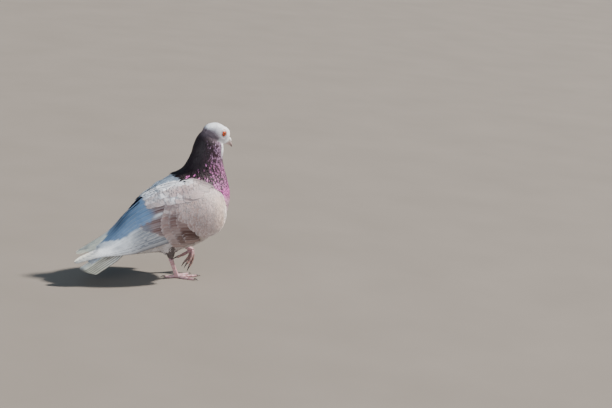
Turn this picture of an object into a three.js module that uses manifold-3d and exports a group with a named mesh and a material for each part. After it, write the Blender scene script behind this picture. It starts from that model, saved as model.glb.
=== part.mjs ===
// Feral pigeon, life size, caught in mid-stride: it stands on the right foot, the left foot hangs in the air,
// the body slopes down to the tail and the head looks to the bird's left.
// Units are millimetres. +X is forward, +Y is the bird's left, +Z is up.
// The origin lies under the pad of the standing foot, on the floor.
import * as THREE from 'three';
import { mergeVertices } from 'three/addons/utils/BufferGeometryUtils.js';
import Module from 'manifold-3d';

const wasm = await Module();
wasm.setup();
const { Manifold, Mesh: SolidMesh } = wasm;

// ---------------------------------------------------------------- driving dimensions
const GAP = 0.3;                       // clearance left between neighbouring pieces
const BODY_SIDES = 20;                 // facets round the neck and trunk
const BODY_STEPS = 25;                 // sections along them
const HEAD_CENTRE = new THREE.Vector3(47.8, 0, 210.4);
const HEAD_TURN = THREE.MathUtils.degToRad(15.5);  // to the bird's left
const HEAD_PITCH = THREE.MathUtils.degToRad(22);   // bill down
const HEAD_SCALE = 1.04;
const EYE = { forward: 2.3, side: 9.5, height: 4.2, radius: 4.4 };
const BILL = { start: 19.6, length: 14.4, halfWidth: 4.4, upper: 4.6, lower: 4.0, droop: 0.12, level: -2.8 };
const WING_THICKNESS = 8;
const BLADE = 1.0;                     // thickness of a flight feather in the solids
const TARSUS_RADIUS = 2.5;
const TOE_RADIUS = 2.3;
// half-sizes of the pad under the foot, and the height of its middle above the floor
const FOOT_PAD = { forward: 4.4, side: 4.0, height: 2.9, level: 2.3 };
const BLOCK = 400;                     // a cube that takes in the whole bird

const COLOURS = {
  crown: 0xc9c9cb, neck: 0x5d3f52, trunk: 0xb09c92, shield: 0xb49c90, secondaries: 0x8d6e66,
  primaries: 0xe6e2da, tail: 0xe9e6dd, thigh: 0x9a9088, skin: 0xc98f8c, claw: 0x4a3f3a,
  bill: 0xb9a8a0, cere: 0xf1eeea, iris: 0xd8591a,
};

// ---------------------------------------------------------------- small helpers
const v3 = (x, y, z) => new THREE.Vector3(x, y, z);
const lerp = THREE.MathUtils.lerp;
const clamp01 = (t) => Math.min(1, Math.max(0, t));
const smooth = (t) => THREE.MathUtils.smoothstep(t, 0, 1);

// Value at t (0 to 1) of a smooth curve through evenly spaced values.
function through(values, t) {
  const place = clamp01(t) * (values.length - 1);
  const i = Math.min(Math.floor(place), values.length - 2);
  const f = place - i;
  const at = (k) => values[Math.min(Math.max(k, 0), values.length - 1)];
  const [a, b, c, d] = [at(i - 1), at(i), at(i + 1), at(i + 2)];
  return 0.5 * (2 * b + (c - a) * f + (2 * a - 5 * b + 4 * c - d) * f * f + (3 * b - a - 3 * c + d) * f ** 3);
}

// A closed body through rings of equal length. The ends are flat caps with a middle vertex.
function loft(rings) {
  const sides = rings[0].length;
  const positions = rings.flat().flatMap((p) => p.toArray());
  const middle = (ring) => ring.reduce((sum, p) => sum.add(p), v3(0, 0, 0)).divideScalar(sides);
  positions.push(...middle(rings[0]).toArray(), ...middle(rings.at(-1)).toArray());
  const index = [];
  for (let r = 0; r < rings.length - 1; r++) {
    for (let s = 0; s < sides; s++) {
      const a = r * sides + s;
      const b = r * sides + ((s + 1) % sides);
      index.push(a, b, b + sides, a, b + sides, a + sides);
    }
  }
  const first = rings.length * sides;
  const last = (rings.length - 1) * sides;
  for (let s = 0; s < sides; s++) {
    const next = (s + 1) % sides;
    index.push(first, next, s, first + 1, last + s, last + next);
  }
  const geometry = new THREE.BufferGeometry();
  geometry.setAttribute('position', new THREE.Float32BufferAttribute(positions, 3));
  geometry.setIndex(index);
  return outward(geometry);
}

// Turns the faces round if the volume they enclose comes out negative.
function outward(geometry) {
  const p = geometry.attributes.position;
  const index = geometry.index.array;
  let volume = 0;
  const [a, b, c] = [v3(), v3(), v3()];
  for (let i = 0; i < index.length; i += 3) {
    a.fromBufferAttribute(p, index[i]);
    b.fromBufferAttribute(p, index[i + 1]);
    c.fromBufferAttribute(p, index[i + 2]);
    volume += a.dot(b.cross(c));
  }
  if (volume < 0) {
    for (let i = 0; i < index.length; i += 3) [index[i], index[i + 1]] = [index[i + 1], index[i]];
  }
  return geometry;
}

// A superellipse ring about a centre, with half-axes along two unit vectors and a facet at its lowest side.
function ring(centre, across, up, halfWidth, halfHeight, sides, power = 2) {
  return Array.from({ length: sides }, (_, k) => {
    const angle = (2 * Math.PI * (k + 0.5)) / sides - (sides % 2 ? Math.PI / 2 : 0);
    const c = Math.cos(angle);
    const s = Math.sin(angle);
    const x = Math.sign(c) * Math.abs(c) ** (2 / power) * halfWidth;
    const y = Math.sign(s) * Math.abs(s) ** (2 / power) * halfHeight;
    return centre.clone().addScaledVector(across, x).addScaledVector(up, y);
  });
}

// A tube along a smooth curve through points, with a radius that varies with t. Nothing sinks below floor.
function limb(points, radiusAt, { sides = 8, steps = 8, flatten = 1, floor = null } = {}) {
  const curve = new THREE.CatmullRomCurve3(points, false, 'centripetal');
  const rings = [];
  for (let i = 0; i <= steps; i++) {
    const t = i / steps;
    const along = curve.getTangentAt(t);
    const level = v3(-along.y, along.x, 0);
    const across = level.lengthSq() > 1e-4 ? level.normalize() : v3(0, 1, 0);
    const up = along.clone().cross(across).normalize();
    rings.push(ring(curve.getPointAt(t), across, up, radiusAt(t), radiusAt(t) * flatten, sides));
  }
  if (floor !== null) rings.flat().forEach((p) => { p.z = Math.max(p.z, floor); });
  return loft(rings);
}

// ---------------------------------------------------------------- solids: joining, cutting
function toSolid(geometry, tolerance = 1e-4) {
  const bare = geometry.clone();
  bare.deleteAttribute('normal');
  bare.deleteAttribute('uv');
  const merged = mergeVertices(bare, tolerance);
  return new Manifold(new SolidMesh({
    numProp: 3,
    vertProperties: new Float32Array(merged.attributes.position.array),
    triVerts: new Uint32Array(merged.index.array),
  }));
}

function toGeometry(solid) {
  const { vertProperties, triVerts, numProp } = solid.getMesh();
  const positions = [];
  for (let i = 0; i < vertProperties.length; i += numProp) positions.push(...vertProperties.slice(i, i + 3));
  const geometry = new THREE.BufferGeometry();
  geometry.setAttribute('position', new THREE.Float32BufferAttribute(positions, 3));
  geometry.setIndex([...triVerts]);
  return geometry;
}

const joined = (solids) => solids.reduce((sum, s) => sum.add(s));

// The largest connected piece, so that slivers left by a cut are dropped.
function mainPiece(solid) {
  return solid.decompose().sort((a, b) => b.volume() - a.volume())[0];
}

// The solid's surface with its corners on a fine grid, so that no sliver is thinner than the grid.
const GRID = 0.002;

function settled(solid) {
  const geometry = toGeometry(solid);
  const p = geometry.attributes.position;
  for (let i = 0; i < p.array.length; i++) p.array[i] = Math.round(p.array[i] / GRID) * GRID;
  return toGeometry(mainPiece(toSolid(geometry, GRID / 2)));
}

// A large block about a point, with one face looking along the normal.
function block(middle, normal) {
  const box = new THREE.BoxGeometry(BLOCK, BLOCK, BLOCK);
  box.applyQuaternion(new THREE.Quaternion().setFromUnitVectors(v3(0, 0, 1), normal));
  box.translate(...middle.toArray());
  return toSolid(box);
}

// Splits a solid at a plane, leaving GAP between the two: [side the normal points to, other side].
function parted(solid, point, normal) {
  const n = normal.clone().normalize();
  const shift = (BLOCK + GAP) / 2;
  const above = block(point.clone().addScaledVector(n, shift), n);
  const below = block(point.clone().addScaledVector(n, -shift), n);
  return [mainPiece(solid.intersect(above)), mainPiece(solid.intersect(below))];
}

// ---------------------------------------------------------------- neck and trunk
// Each station is a section through the body from a point on the back to a point on the front or belly.
const STATIONS = [
  { back: [27.5, 219], front: [53, 202], halfWidth: 10.5 },   // inside the head
  { back: [14.8, 207], front: [57, 190], halfWidth: 17 },
  { back: [10, 183.5], front: [57, 172], halfWidth: 19.5 },
  { back: [-1.5, 161.5], front: [64.5, 151], halfWidth: 25 },
  { back: [-21, 149.5], front: [71, 129], halfWidth: 34.5 },
  { back: [-38, 139], front: [70, 106], halfWidth: 42 },
  { back: [-52, 126], front: [60, 83], halfWidth: 44 },
  { back: [-65, 110], front: [45, 64], halfWidth: 43 },
  { back: [-77, 93], front: [24, 51], halfWidth: 38 },
  { back: [-86, 79], front: [-2, 44], halfWidth: 31 },
  { back: [-94, 68], front: [-30, 41], halfWidth: 24 },
  { back: [-101, 59], front: [-57, 39], halfWidth: 17 },
  { back: [-107, 51], front: [-82, 38], halfWidth: 11 },
];

function bodyRing(t, inflate) {
  const value = (pick) => through(STATIONS.map(pick), t);
  const back = v3(value((s) => s.back[0]), 0, value((s) => s.back[1]));
  const front = v3(value((s) => s.front[0]), 0, value((s) => s.front[1]));
  const middle = back.clone().lerp(front, 0.5);
  const up = back.clone().sub(front).normalize();
  const halfHeight = back.distanceTo(front) / 2 + inflate;
  const halfWidth = value((s) => s.halfWidth) + inflate;
  return ring(middle, v3(0, 1, 0), up, halfWidth, halfHeight, BODY_SIDES, 2.12);
}

function bodyLoft(inflate = 0) {
  return toSolid(loft(Array.from({ length: BODY_STEPS + 1 }, (_, i) => bodyRing(i / BODY_STEPS, inflate))));
}

// ---------------------------------------------------------------- head
// forward, left and height are measured from the middle of the head, before it is turned and pitched.
function headPoint(forward, left, height) {
  return v3(forward, left, height)
    .multiplyScalar(HEAD_SCALE)
    .applyAxisAngle(v3(0, 1, 0), HEAD_PITCH)
    .applyAxisAngle(v3(0, 0, 1), HEAD_TURN)
    .add(HEAD_CENTRE);
}

const SKULL = { back: -21, front: 21, rows: 11, sides: 16 };
const SKULL_TOP = [3, 12.2, 15.2, 15.8, 15.5, 14.7, 12.8, 9.0, 3.4];
const SKULL_BOTTOM = [-4, -11.5, -15, -15.5, -14.2, -12.8, -11.2, -8.8, -6.6];
const SKULL_HALF_WIDTH = [2, 9.4, 12.0, 12.8, 12.4, 11.1, 9.2, 6.8, 5.0];

function skullSection(forward, grow = 0) {
  const t = (forward - SKULL.back) / (SKULL.front - SKULL.back);
  return {
    top: through(SKULL_TOP, t) + grow,
    bottom: through(SKULL_BOTTOM, t) - grow,
    halfWidth: through(SKULL_HALF_WIDTH, t) + grow,
  };
}

function skullLoft(grow = 0) {
  const rings = [];
  for (let i = 0; i <= SKULL.rows; i++) {
    const t = 0.5 - 0.5 * Math.cos((Math.PI * i) / SKULL.rows);
    const forward = lerp(SKULL.back - grow, SKULL.front + grow, t);
    const inSkull = Math.min(Math.max(forward, SKULL.back), SKULL.front);
    const { top, bottom, halfWidth } = skullSection(inSkull, grow);
    const middle = v3(0, 0, (top + bottom) / 2);
    const halfHeight = (top - bottom) / 2;
    const section = ring(middle, v3(0, 1, 0), v3(0, 0, 1), halfWidth, halfHeight, SKULL.sides, 2.1);
    rings.push(section.map((p) => headPoint(forward, p.y, p.z)));
  }
  return toSolid(loft(rings));
}

function eyeSolid(side, grow = 0) {
  const ball = new THREE.SphereGeometry(EYE.radius * HEAD_SCALE + grow, 12, 7);
  ball.translate(...headPoint(EYE.forward, side * EYE.side, EYE.height).toArray());
  return toSolid(ball);
}

// One half of the bill. direction is 1 for the upper mandible, with its hooked tip, and -1 for the lower one.
function mandible(direction, grow = 0) {
  const sides = 10;
  const steps = 8;
  const rings = [];
  const inset = direction > 0 ? 0 : 1.2;               // the lower mandible ends short of the hook
  for (let i = 0; i <= steps; i++) {
    const t = i / steps;
    const forward = BILL.start + t * (BILL.length - inset) + grow * (t === 1 ? 1 : 0) - (i === 0 ? grow : 0);
    const seam = BILL.level - BILL.droop * t * BILL.length - 1.6 * t ** 4 + (direction * GAP) / 2;
    const depths = direction > 0 ? [BILL.upper, 3.1, 2.5, 2.7, 1.0] : [BILL.lower, 3.0, 2.4, 1.7, 0.7];
    const tall = through(depths, t) + 2 * grow;
    const wide = through([BILL.halfWidth, 3.2, 2.4, 1.9, 0.8], t) * (direction > 0 ? 1 : 0.92) + grow;
    const hook = direction > 0 ? -1.3 * smooth((t - 0.82) / 0.18) : 0;
    const points = [];
    for (let k = 0; k < sides; k++) {
      const angle = (Math.PI * k) / (sides - 1);
      const height = seam + direction * (tall * Math.sin(angle) - grow) + hook * (1 - Math.sin(angle));
      points.push(headPoint(forward, wide * Math.cos(angle), height));
    }
    rings.push(points);
  }
  return toSolid(loft(rings));
}

// The two swollen lobes over the nostrils.
function cereLobes() {
  const lobes = [1, -1].map((side) => {
    const lobe = new THREE.SphereGeometry(1, 8, 6);
    lobe.scale(4.6, 2.7, 2.5);
    lobe.rotateY(0.32);
    lobe.translate(BILL.start + 3.4, side * 1.7, BILL.level + BILL.upper - 1.1);
    const p = lobe.attributes.position;
    for (let i = 0; i < p.count; i++) p.setXYZ(i, ...headPoint(p.getX(i), p.getY(i), p.getZ(i)).toArray());
    return toSolid(lobe);
  });
  return joined(lobes);
}

// ---------------------------------------------------------------- wings
// The wing lies on one curved surface from the wrist (u = 0) to the tip (u = 1), from its upper edge (v = 0)
// to its lower edge (v = 1). depth is measured inwards from that surface. The stations are the right wing's.
const WING = [
  { top: [59, -26, 121], low: [59, -31, 102], bulge: 3 },
  { top: [37, -29, 141], low: [47, -43, 82], bulge: 12 },
  { top: [8, -27, 150], low: [25, -44, 70], bulge: 20 },
  { top: [-22, -20, 144], low: [-4, -42, 62], bulge: 22 },
  { top: [-52, -14, 131], low: [-33, -39, 55], bulge: 20 },
  { top: [-81, -7, 107], low: [-64, -37, 47], bulge: 16 },
  { top: [-105, -4, 74], low: [-98, -34, 43], bulge: 11 },
  { top: [-130, -4, 51], low: [-131, -31, 42], bulge: 7 },
  { top: [-165, -12, 34], low: [-166, -19, 31], bulge: 1 },
];
const LEFT_WING_SHIFT = new THREE.Vector3(12, 0, 8);   // the left wing tip lies further forward and higher
const LEFT_WING_DROP = { deep: 7, until: 0.75 };       // but its shoulder feathers hang lower on the back

const WING_OUT = new THREE.Vector3(-0.12, -0.93, 0.36);

function wingPoint(u, v, depth, side) {
  const place = (uu, vv) => {
    const pick = (key) => v3(...[0, 1, 2].map((k) => through(WING.map((s) => s[key][k]), uu)));
    const bulge = through(WING.map((s) => s.bulge), uu) * 4 * vv * (1 - vv);
    return pick('top').lerp(pick('low'), vv).addScaledVector(WING_OUT, bulge);
  };
  const step = 0.004;
  const along = place(u + step, v).sub(place(u - step, v));
  const across = place(u, v + step).sub(place(u, v - step));
  const normal = along.cross(across).normalize();
  if (normal.dot(WING_OUT) < 0) normal.negate();
  const p = place(u, v).addScaledVector(normal, -depth);
  if (side < 0) return p;
  const sag = Math.sin(Math.PI * clamp01(u / LEFT_WING_DROP.until)) ** 2 * (1 - v);
  return v3(p.x, -p.y, p.z - LEFT_WING_DROP.deep * sag).addScaledVector(LEFT_WING_SHIFT, clamp01(u) ** 2);
}

// The feathered arm and coverts: a shell that is thick at the wrist and thin at its rear edge.
const SHIELD = { start: 0.012, end: 0.5, top: 0.02, low: 0.93, rearCurve: 0.05, rows: 9, cols: 6 };

function wingShield(side, grow = 0) {
  const rings = [];
  for (let i = 0; i <= SHIELD.rows; i++) {
    const t = i / SHIELD.rows;
    const inner = lerp(WING_THICKNESS, 1.4, smooth((t - 0.3) / 0.5)) * smooth(0.25 + t * 4);
    const at = (k, depth) => {
      const v = lerp(SHIELD.top, SHIELD.low, k / SHIELD.cols);
      const rear = SHIELD.rearCurve * Math.sin(Math.PI * v) * smooth((t - 0.6) / 0.4);
      return wingPoint(lerp(SHIELD.start, SHIELD.end, t) + rear, v, depth, side);
    };
    const outer = Array.from({ length: SHIELD.cols + 1 }, (_, k) => at(k, -grow));
    const inside = Array.from({ length: SHIELD.cols + 1 }, (_, k) => {
      const round = Math.sqrt(4 * (k / SHIELD.cols) * (1 - k / SHIELD.cols));
      return at(k, 1 + (inner - 1) * round + grow);
    });
    rings.push([...outer, ...inside.reverse()]);
  }
  return toSolid(loft(rings));
}

// A plate of flight feathers side by side. Each lane is one feather with a rounded tip, and each lies a
// little deeper than the one above it. point(along, across, depth) places it in space.
const LANE = [0.02, 0.5, 0.98];        // where a lane is cut: its edges and its middle

function featherPlate(plate, point) {
  const { count, lengthSteps, start, end, top, low, roundness, step, depth } = plate;
  const { thickness = BLADE, lane = LANE } = plate;
  const rings = [];
  for (let i = 0; i < count; i++) {
    for (const edge of lane) {
      const place = (i + edge) / count;
      const across = lerp(top, low, place);
      const from = start(place);
      const to = end((i + 0.5) / count) - (edge === 0.5 ? 0 : roundness);
      const along = (k) => lerp(from, to, k / lengthSteps);
      const level = depth + step * (i + edge);
      const stretch = (depthThere) => (
        Array.from({ length: lengthSteps + 1 }, (_, k) => point(along(k), across, depthThere))
      );
      rings.push([...stretch(level), ...stretch(level + thickness).reverse()]);
    }
  }
  return toSolid(loft(rings));
}

const SECONDARIES = {
  count: 7, lengthSteps: 3, top: 0.04, low: 0.74, roundness: 0.012, step: 0.08, depth: 2.2,
  rise: 1.6, riseFrom: 0.57, riseOver: 0.05,
  start: () => 0.43,
  end: (t) => 0.598 + 0.05 * Math.sin(Math.PI * clamp01(t * 0.9 + 0.05)) - 0.012 * t,
};
const PRIMARIES = {
  count: 8, lengthSteps: 5, top: 0.06, low: 0.99, roundness: 0.012, step: 0.1, depth: 4.2,
  rise: 3.8, riseFrom: 0.66, riseOver: 0.1,
  start: (t) => lerp(0.5, 0.36, t),
  end: (t) => lerp(0.9, 0.985, Math.sin((Math.PI / 2) * clamp01(t * 1.3))) - 0.05 * smooth((t - 0.8) / 0.2),
};

// A layer of quills starts under the layer before it and rises to the wing's surface once it is clear of it.
function wingLayer(layer, side) {
  const rise = (u) => layer.rise * smooth((u - layer.riseFrom) / layer.riseOver);
  return featherPlate(layer, (u, v, depth) => wingPoint(u, v, depth - rise(u), side));
}

// The hollow that both layers of quills need in the body under them, open to the outside.
const ROOM = { start: 0.4, top: -0.03, low: 1.03, inside: 6.4, outside: 8 };

function quillRoom(side) {
  return featherPlate({
    count: 1, lengthSteps: 8, top: ROOM.top, low: ROOM.low, roundness: 0, step: 0,
    depth: -ROOM.outside, thickness: ROOM.outside + ROOM.inside, lane: [0, 0.15, 0.3, 0.5, 0.7, 0.85, 1],
    start: (t) => ROOM.start - 0.08 * t,
    end: () => 1.0,
  }, (u, v, depth) => wingPoint(u, v, depth, side));
}

// ---------------------------------------------------------------- tail
const TAIL = {
  count: 12, root: v3(-80, 0, 62), length: 82, slope: THREE.MathUtils.degToRad(34),
  rootHalfWidth: 15, tipHalfWidth: 27, sideShorter: 0.14, rootArch: 13, tipArch: 5,
};

// across runs from -1 at the right edge of the fan to 1 at its left edge.
function tailPoint(along, across, depth) {
  const back = along * TAIL.length;
  const wide = lerp(TAIL.rootHalfWidth, TAIL.tipHalfWidth, along) * across;
  const drop = lerp(TAIL.rootArch, TAIL.tipArch, along) * across * across + depth;
  return v3(
    TAIL.root.x - back * Math.cos(TAIL.slope),
    wide,
    TAIL.root.z - back * Math.sin(TAIL.slope) - drop,
  );
}

const tailFan = () => featherPlate({
  count: TAIL.count, lengthSteps: 3, top: -1, low: 1, roundness: 0.03, step: 0, depth: 0,
  start: () => 0,
  end: (t) => 1 - TAIL.sideShorter * (2 * t - 1) ** 2,
}, tailPoint);

// ---------------------------------------------------------------- legs
const LEGS = {
  right: {
    thigh: [v3(-22, -21, 66), v3(-21, -18, 50), v3(-16.5, -12, 34)],
    ankle: v3(-15.5, -11, 30), knuckle: v3(-1.5, -0.8, 4.0), floor: 0,
    toes: {
      hallux: [v3(-2, -0.3, 2.6), v3(-10, 1.2, 1.5), v3(-17, 3.5, 1.25)],
      inner: [v3(1, 2, 2.8), v3(10, 7.5, 1.6), v3(21.5, 12.5, 1.3)],
      middle: [v3(1, 0, 2.8), v3(14, -0.5, 1.6), v3(30, 0.5, 1.3)],
      outer: [v3(1, -2, 2.8), v3(9, -9.5, 1.6), v3(19, -17.5, 1.3)],
    },
  },
  left: {
    thigh: [v3(-12, 23, 66), v3(-7, 22.5, 57), v3(-1, 22, 50)],
    ankle: v3(1, 22, 48), knuckle: v3(28, 21, 36), floor: null,
    toes: {
      hallux: [v3(26.5, 21, 34), v3(17, 21.6, 28.5), v3(7.5, 22.5, 24.5)],
      inner: [v3(28.5, 19, 34), v3(26.5, 15.5, 25), v3(20, 13.5, 17)],
      middle: [v3(30, 21, 34.5), v3(31.5, 21, 22), v3(27, 21, 10.5)],
      outer: [v3(28.5, 23, 34), v3(28.5, 27, 24), v3(23, 29.5, 15)],
    },
  },
};
const KNOBS = { hallux: 2, inner: 3, middle: 4, outer: 4 };   // toe pads, one to each bone
const CLAW = { length: 7.5, radius: 1.35, tipRadius: 0.28 };

const TOE_SWELL = 0.09;                // how far each pad stands out, as a share of the toe's radius

const toeRadius = (t) => TOE_RADIUS * lerp(1, 0.72, t);

function toeSolid(points, pads, floor) {
  const radius = (t) => toeRadius(t) * (1 + TOE_SWELL * Math.cos(2 * Math.PI * pads * t));
  return toSolid(limb(points, radius, { steps: 6, flatten: 0.92, floor }));
}

function clawSolid(points, floor) {
  const lifted = floor === null;
  const toeEnd = points.at(-1);
  const along = toeEnd.clone().sub(points.at(-2)).normalize();
  const down = lifted ? v3(-0.35, 0, -0.9) : v3(0, 0, -0.35);
  const start = toeEnd.clone().addScaledVector(along, GAP);
  const bend = start.clone().addScaledVector(along, CLAW.length * 0.5);
  bend.z += lifted ? 0.3 : 0.9;
  const end = start.clone().addScaledVector(along, CLAW.length * 0.9);
  end.addScaledVector(down, CLAW.length * 0.3);
  if (!lifted) end.z = floor + CLAW.tipRadius + 0.07;
  const radius = (t) => lerp(CLAW.radius, CLAW.tipRadius, t ** 1.3);
  return toSolid(limb([start, bend, end], radius, { sides: 6, steps: 4, floor }));
}

// The pad under the joint where the toes meet. On the standing foot its underside is a flat on the floor.
function padSolid({ knuckle, floor }, grow) {
  const middle = floor === null ? knuckle : v3(0, 0, FOOT_PAD.level);
  const pad = new THREE.SphereGeometry(1, 9, 6);
  pad.rotateX(Math.PI / 2);
  pad.scale(FOOT_PAD.forward + grow, FOOT_PAD.side + grow, FOOT_PAD.height + grow);
  pad.translate(...middle.toArray());
  const p = pad.attributes.position;
  for (let i = 0; i < p.count; i++) if (floor !== null) p.setZ(i, Math.max(p.getZ(i), floor - grow));
  return toSolid(pad);
}

function legSolids(leg, body) {
  const cut = (solid, ...others) => mainPiece(others.reduce((rest, other) => rest.subtract(other), solid));
  const thighRadius = (grow) => (t) => lerp(15, 4.2, smooth(t)) + grow;
  const thighSolid = (grow) => toSolid(limb(leg.thigh, thighRadius(grow), { sides: 14, steps: 7 }));
  const { ankle, knuckle, floor } = leg;
  const tarsusCurve = [ankle.clone().lerp(knuckle, -0.06), ankle.clone().lerp(knuckle, 0.5), knuckle];
  const tarsusRadius = (grow) => (t) => TARSUS_RADIUS * (1 + 0.28 * (2 * t - 1) ** 4) + grow;
  const tarsus = toSolid(limb(tarsusCurve, tarsusRadius(0), { steps: 4, floor })).add(padSolid(leg, 0));
  const tarsusRoom = toSolid(limb(tarsusCurve, tarsusRadius(GAP), { steps: 4 })).add(padSolid(leg, GAP));
  const parts = { thigh: cut(thighSolid(0), body, tarsusRoom), tarsus: cut(tarsus, body) };
  const rooms = [tarsusRoom];
  for (const [name, points] of Object.entries(leg.toes)) {
    const toe = cut(toeSolid(points, KNOBS[name], floor), ...rooms);
    const room = toSolid(limb(points, (t) => toeRadius(t) * (1 + TOE_SWELL) + GAP, { steps: 6 }));
    rooms.push(room);
    parts[`toe_${name}`] = toe;
    parts[`claw_${name}`] = cut(clawSolid(points, floor), room);
  }
  return parts;
}

// ---------------------------------------------------------------- assembly
const bird = new THREE.Group();

function place(name, solid, colour, { roughness = 0.85, metalness = 0 } = {}) {
  const material = new THREE.MeshStandardMaterial({ color: COLOURS[colour], roughness, metalness });
  const mesh = new THREE.Mesh(settled(solid), material);
  mesh.name = name;
  bird.add(mesh);
}

// Head, neck and trunk are one form, parted by thin cuts across the nape and the shoulders.
const skull = skullLoft();
const whole = bodyLoft().add(skull);
const [upperBody, trunkBare] = parted(whole, v3(20, 0, 157), v3(0.42, 0, 1));
const [headBare, neck] = parted(upperBody, v3(40, 0, 199), v3(0.6, 0, 0.8));
const eyeRooms = [1, -1].map((side) => eyeSolid(side, GAP));
place('head', mainPiece(headBare.subtract(eyeRooms[0]).subtract(eyeRooms[1])), 'crown');
place('neck', neck, 'neck');
place('eye_left', eyeSolid(1), 'iris', { roughness: 0.1 });
place('eye_right', eyeSolid(-1), 'iris', { roughness: 0.1 });

const skullRoom = skullLoft(GAP);
place('bill_upper', mainPiece(mandible(1).subtract(skullRoom)), 'bill', { roughness: 0.4 });
place('bill_lower', mainPiece(mandible(-1).subtract(skullRoom)), 'bill', { roughness: 0.4 });
const cere = mainPiece(cereLobes().subtract(skullRoom).subtract(mandible(1, GAP)));
place('cere', cere, 'cere', { roughness: 0.6 });

const trunkRoom = bodyLoft(GAP);
const tail = mainPiece(tailFan().subtract(trunkRoom));
place('trunk', mainPiece(trunkBare.subtract(quillRoom(1)).subtract(quillRoom(-1))), 'trunk');
place('tail', tail, 'tail');

for (const [word, side] of [['right', -1], ['left', 1]]) {
  place(`wing_${word}_coverts`, mainPiece(wingShield(side).subtract(trunkRoom)), 'shield');
  place(`wing_${word}_secondaries`, wingLayer(SECONDARIES, side), 'secondaries');
  place(`wing_${word}_primaries`, wingLayer(PRIMARIES, side), 'primaries');
  for (const [part, solid] of Object.entries(legSolids(LEGS[word], trunkRoom.add(quillRoom(side))))) {
    const colour = part === 'thigh' ? 'thigh' : part.startsWith('claw') ? 'claw' : 'skin';
    place(`leg_${word}_${part}`, solid, colour, { roughness: 0.6 });
  }
}

export default bird;
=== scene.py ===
"""A feral pigeon in mid-stride, feathered over its solids. Metres, +X forward, +Y the bird's left, +Z up."""
import math

import bmesh
import bpy
import numpy as np
from mathutils import Matrix, Vector
from mathutils.bvhtree import BVHTree
from mathutils.kdtree import KDTree


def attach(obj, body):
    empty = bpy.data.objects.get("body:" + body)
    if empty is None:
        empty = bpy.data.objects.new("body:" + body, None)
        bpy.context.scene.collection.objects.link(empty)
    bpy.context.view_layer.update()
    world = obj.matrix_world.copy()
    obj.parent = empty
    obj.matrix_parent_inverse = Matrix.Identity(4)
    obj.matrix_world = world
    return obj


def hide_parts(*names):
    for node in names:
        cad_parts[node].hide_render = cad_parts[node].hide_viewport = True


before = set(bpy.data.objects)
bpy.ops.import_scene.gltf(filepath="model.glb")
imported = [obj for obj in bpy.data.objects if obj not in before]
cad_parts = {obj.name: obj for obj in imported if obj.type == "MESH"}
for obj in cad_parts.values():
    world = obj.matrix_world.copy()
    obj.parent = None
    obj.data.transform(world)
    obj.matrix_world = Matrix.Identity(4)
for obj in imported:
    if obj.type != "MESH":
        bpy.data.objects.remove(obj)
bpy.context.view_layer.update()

# ------------------------------------------------------------------ sizes shared with the solids
MM = 0.001
SIDES = {"right": -1, "left": 1}        # and the sign of y there
HEAD_CENTRE = np.array([47.8, 0, 210.4]) * MM
HEAD_TURN = math.radians(15.5)         # to the bird's left
HEAD_PITCH = math.radians(22)          # bill down
HEAD_SCALE = 1.04
# On the head, in millimetres: ahead of, beside and above its middle.
EYE = {"forward": 0.3, "side": 9.4, "height": 4.2, "radius": 4.5}
BILL = {"start": 17.8, "length": 13.4, "droop": 0.14, "level": -2.8}
UPPER_BILL = {"depths": [4.6, 3.1, 2.5, 2.7, 1.0], "widths": [4.4, 3.2, 2.4, 1.9, 0.8], "short": 0.0}
LOWER_BILL = {"depths": [4.0, 3.0, 2.4, 1.7, 0.7], "widths": [4.05, 2.94, 2.2, 1.75, 0.74], "short": 1.2}
SKULL_BACK, SKULL_FRONT = -21, 21       # and from there, sections of the skull from back to front
SKULL_TOP = [3, 12.2, 15.2, 15.8, 15.5, 14.7, 12.8, 9.0, 3.4]
SKULL_BOTTOM = [-4, -11.5, -15, -15.5, -14.2, -12.8, -11.2, -8.8, -6.6]
SKULL_HALF_WIDTH = [2, 9.4, 12.0, 12.8, 12.4, 11.1, 9.2, 6.8, 5.0]

# Sections of the body, head to tail: a point on the back (x, z), one on the front or belly (x, z), and the
# half-width.
# The last two sections carry the coverts on over the root of the tail.
BODY = np.array([
    [27.5, 219, 53, 202, 10.5], [14.8, 207, 57, 190, 17], [10, 183.5, 57, 172, 19.5],
    [-1.5, 161.5, 64.5, 151, 25], [-21, 149.5, 71, 129, 34.5], [-38, 139, 70, 106, 42],
    [-52, 126, 60, 83, 44], [-65, 110, 45, 64, 43], [-77, 93, 24, 51, 38], [-86, 79, -2, 44, 31],
    [-94, 68, -30, 41, 24], [-101, 59, -57, 39, 17], [-107, 51, -82, 38, 11], [-121, 41, -104, 33, 12],
    [-136, 29, -124, 24, 14],
]) * MM

# Sections of the right wing: upper edge (x, y, z), lower edge (x, y, z) and bulge, from the wrist to the tip.
WING = np.array([
    [59, -26, 121, 59, -31, 102, 3], [37, -29, 141, 47, -43, 82, 12], [8, -27, 150, 25, -44, 70, 20],
    [-22, -20, 144, -4, -42, 62, 22], [-52, -14, 131, -33, -39, 55, 20], [-81, -7, 107, -64, -37, 47, 16],
    [-105, -4, 74, -98, -34, 43, 11], [-130, -4, 51, -131, -31, 42, 7], [-165, -12, 34, -166, -19, 31, 1],
]) * MM
WING_OUT = np.array([-0.12, -0.93, 0.36])
OVER_THE_BACK = 80 * MM                 # how far the plumage turns over the upper edge, for each unit of down
LEFT_WING_SHIFT = np.array([12, 0, 8]) * MM
LEFT_WING_DROP = {"deep": 7 * MM, "until": 0.75}        # the left shoulder's feathers hang lower on the back
LEFT_WING_LEVEL = 8 * MM                # its long feathers lie flatter, with their outer edge raised
LEFT_TIP_IN, LEFT_TIP_DOWN = 6 * MM, 4 * MM             # and their tip lies against the other wing's
RIGHT_TIP_RISE = 3.5 * MM               # the right tip's upper edge stands a little higher than its solid
WING_REACH, WING_DEPTH = 0.226, 0.095   # lengths that along and down stand for, in the wing's mottling

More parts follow.
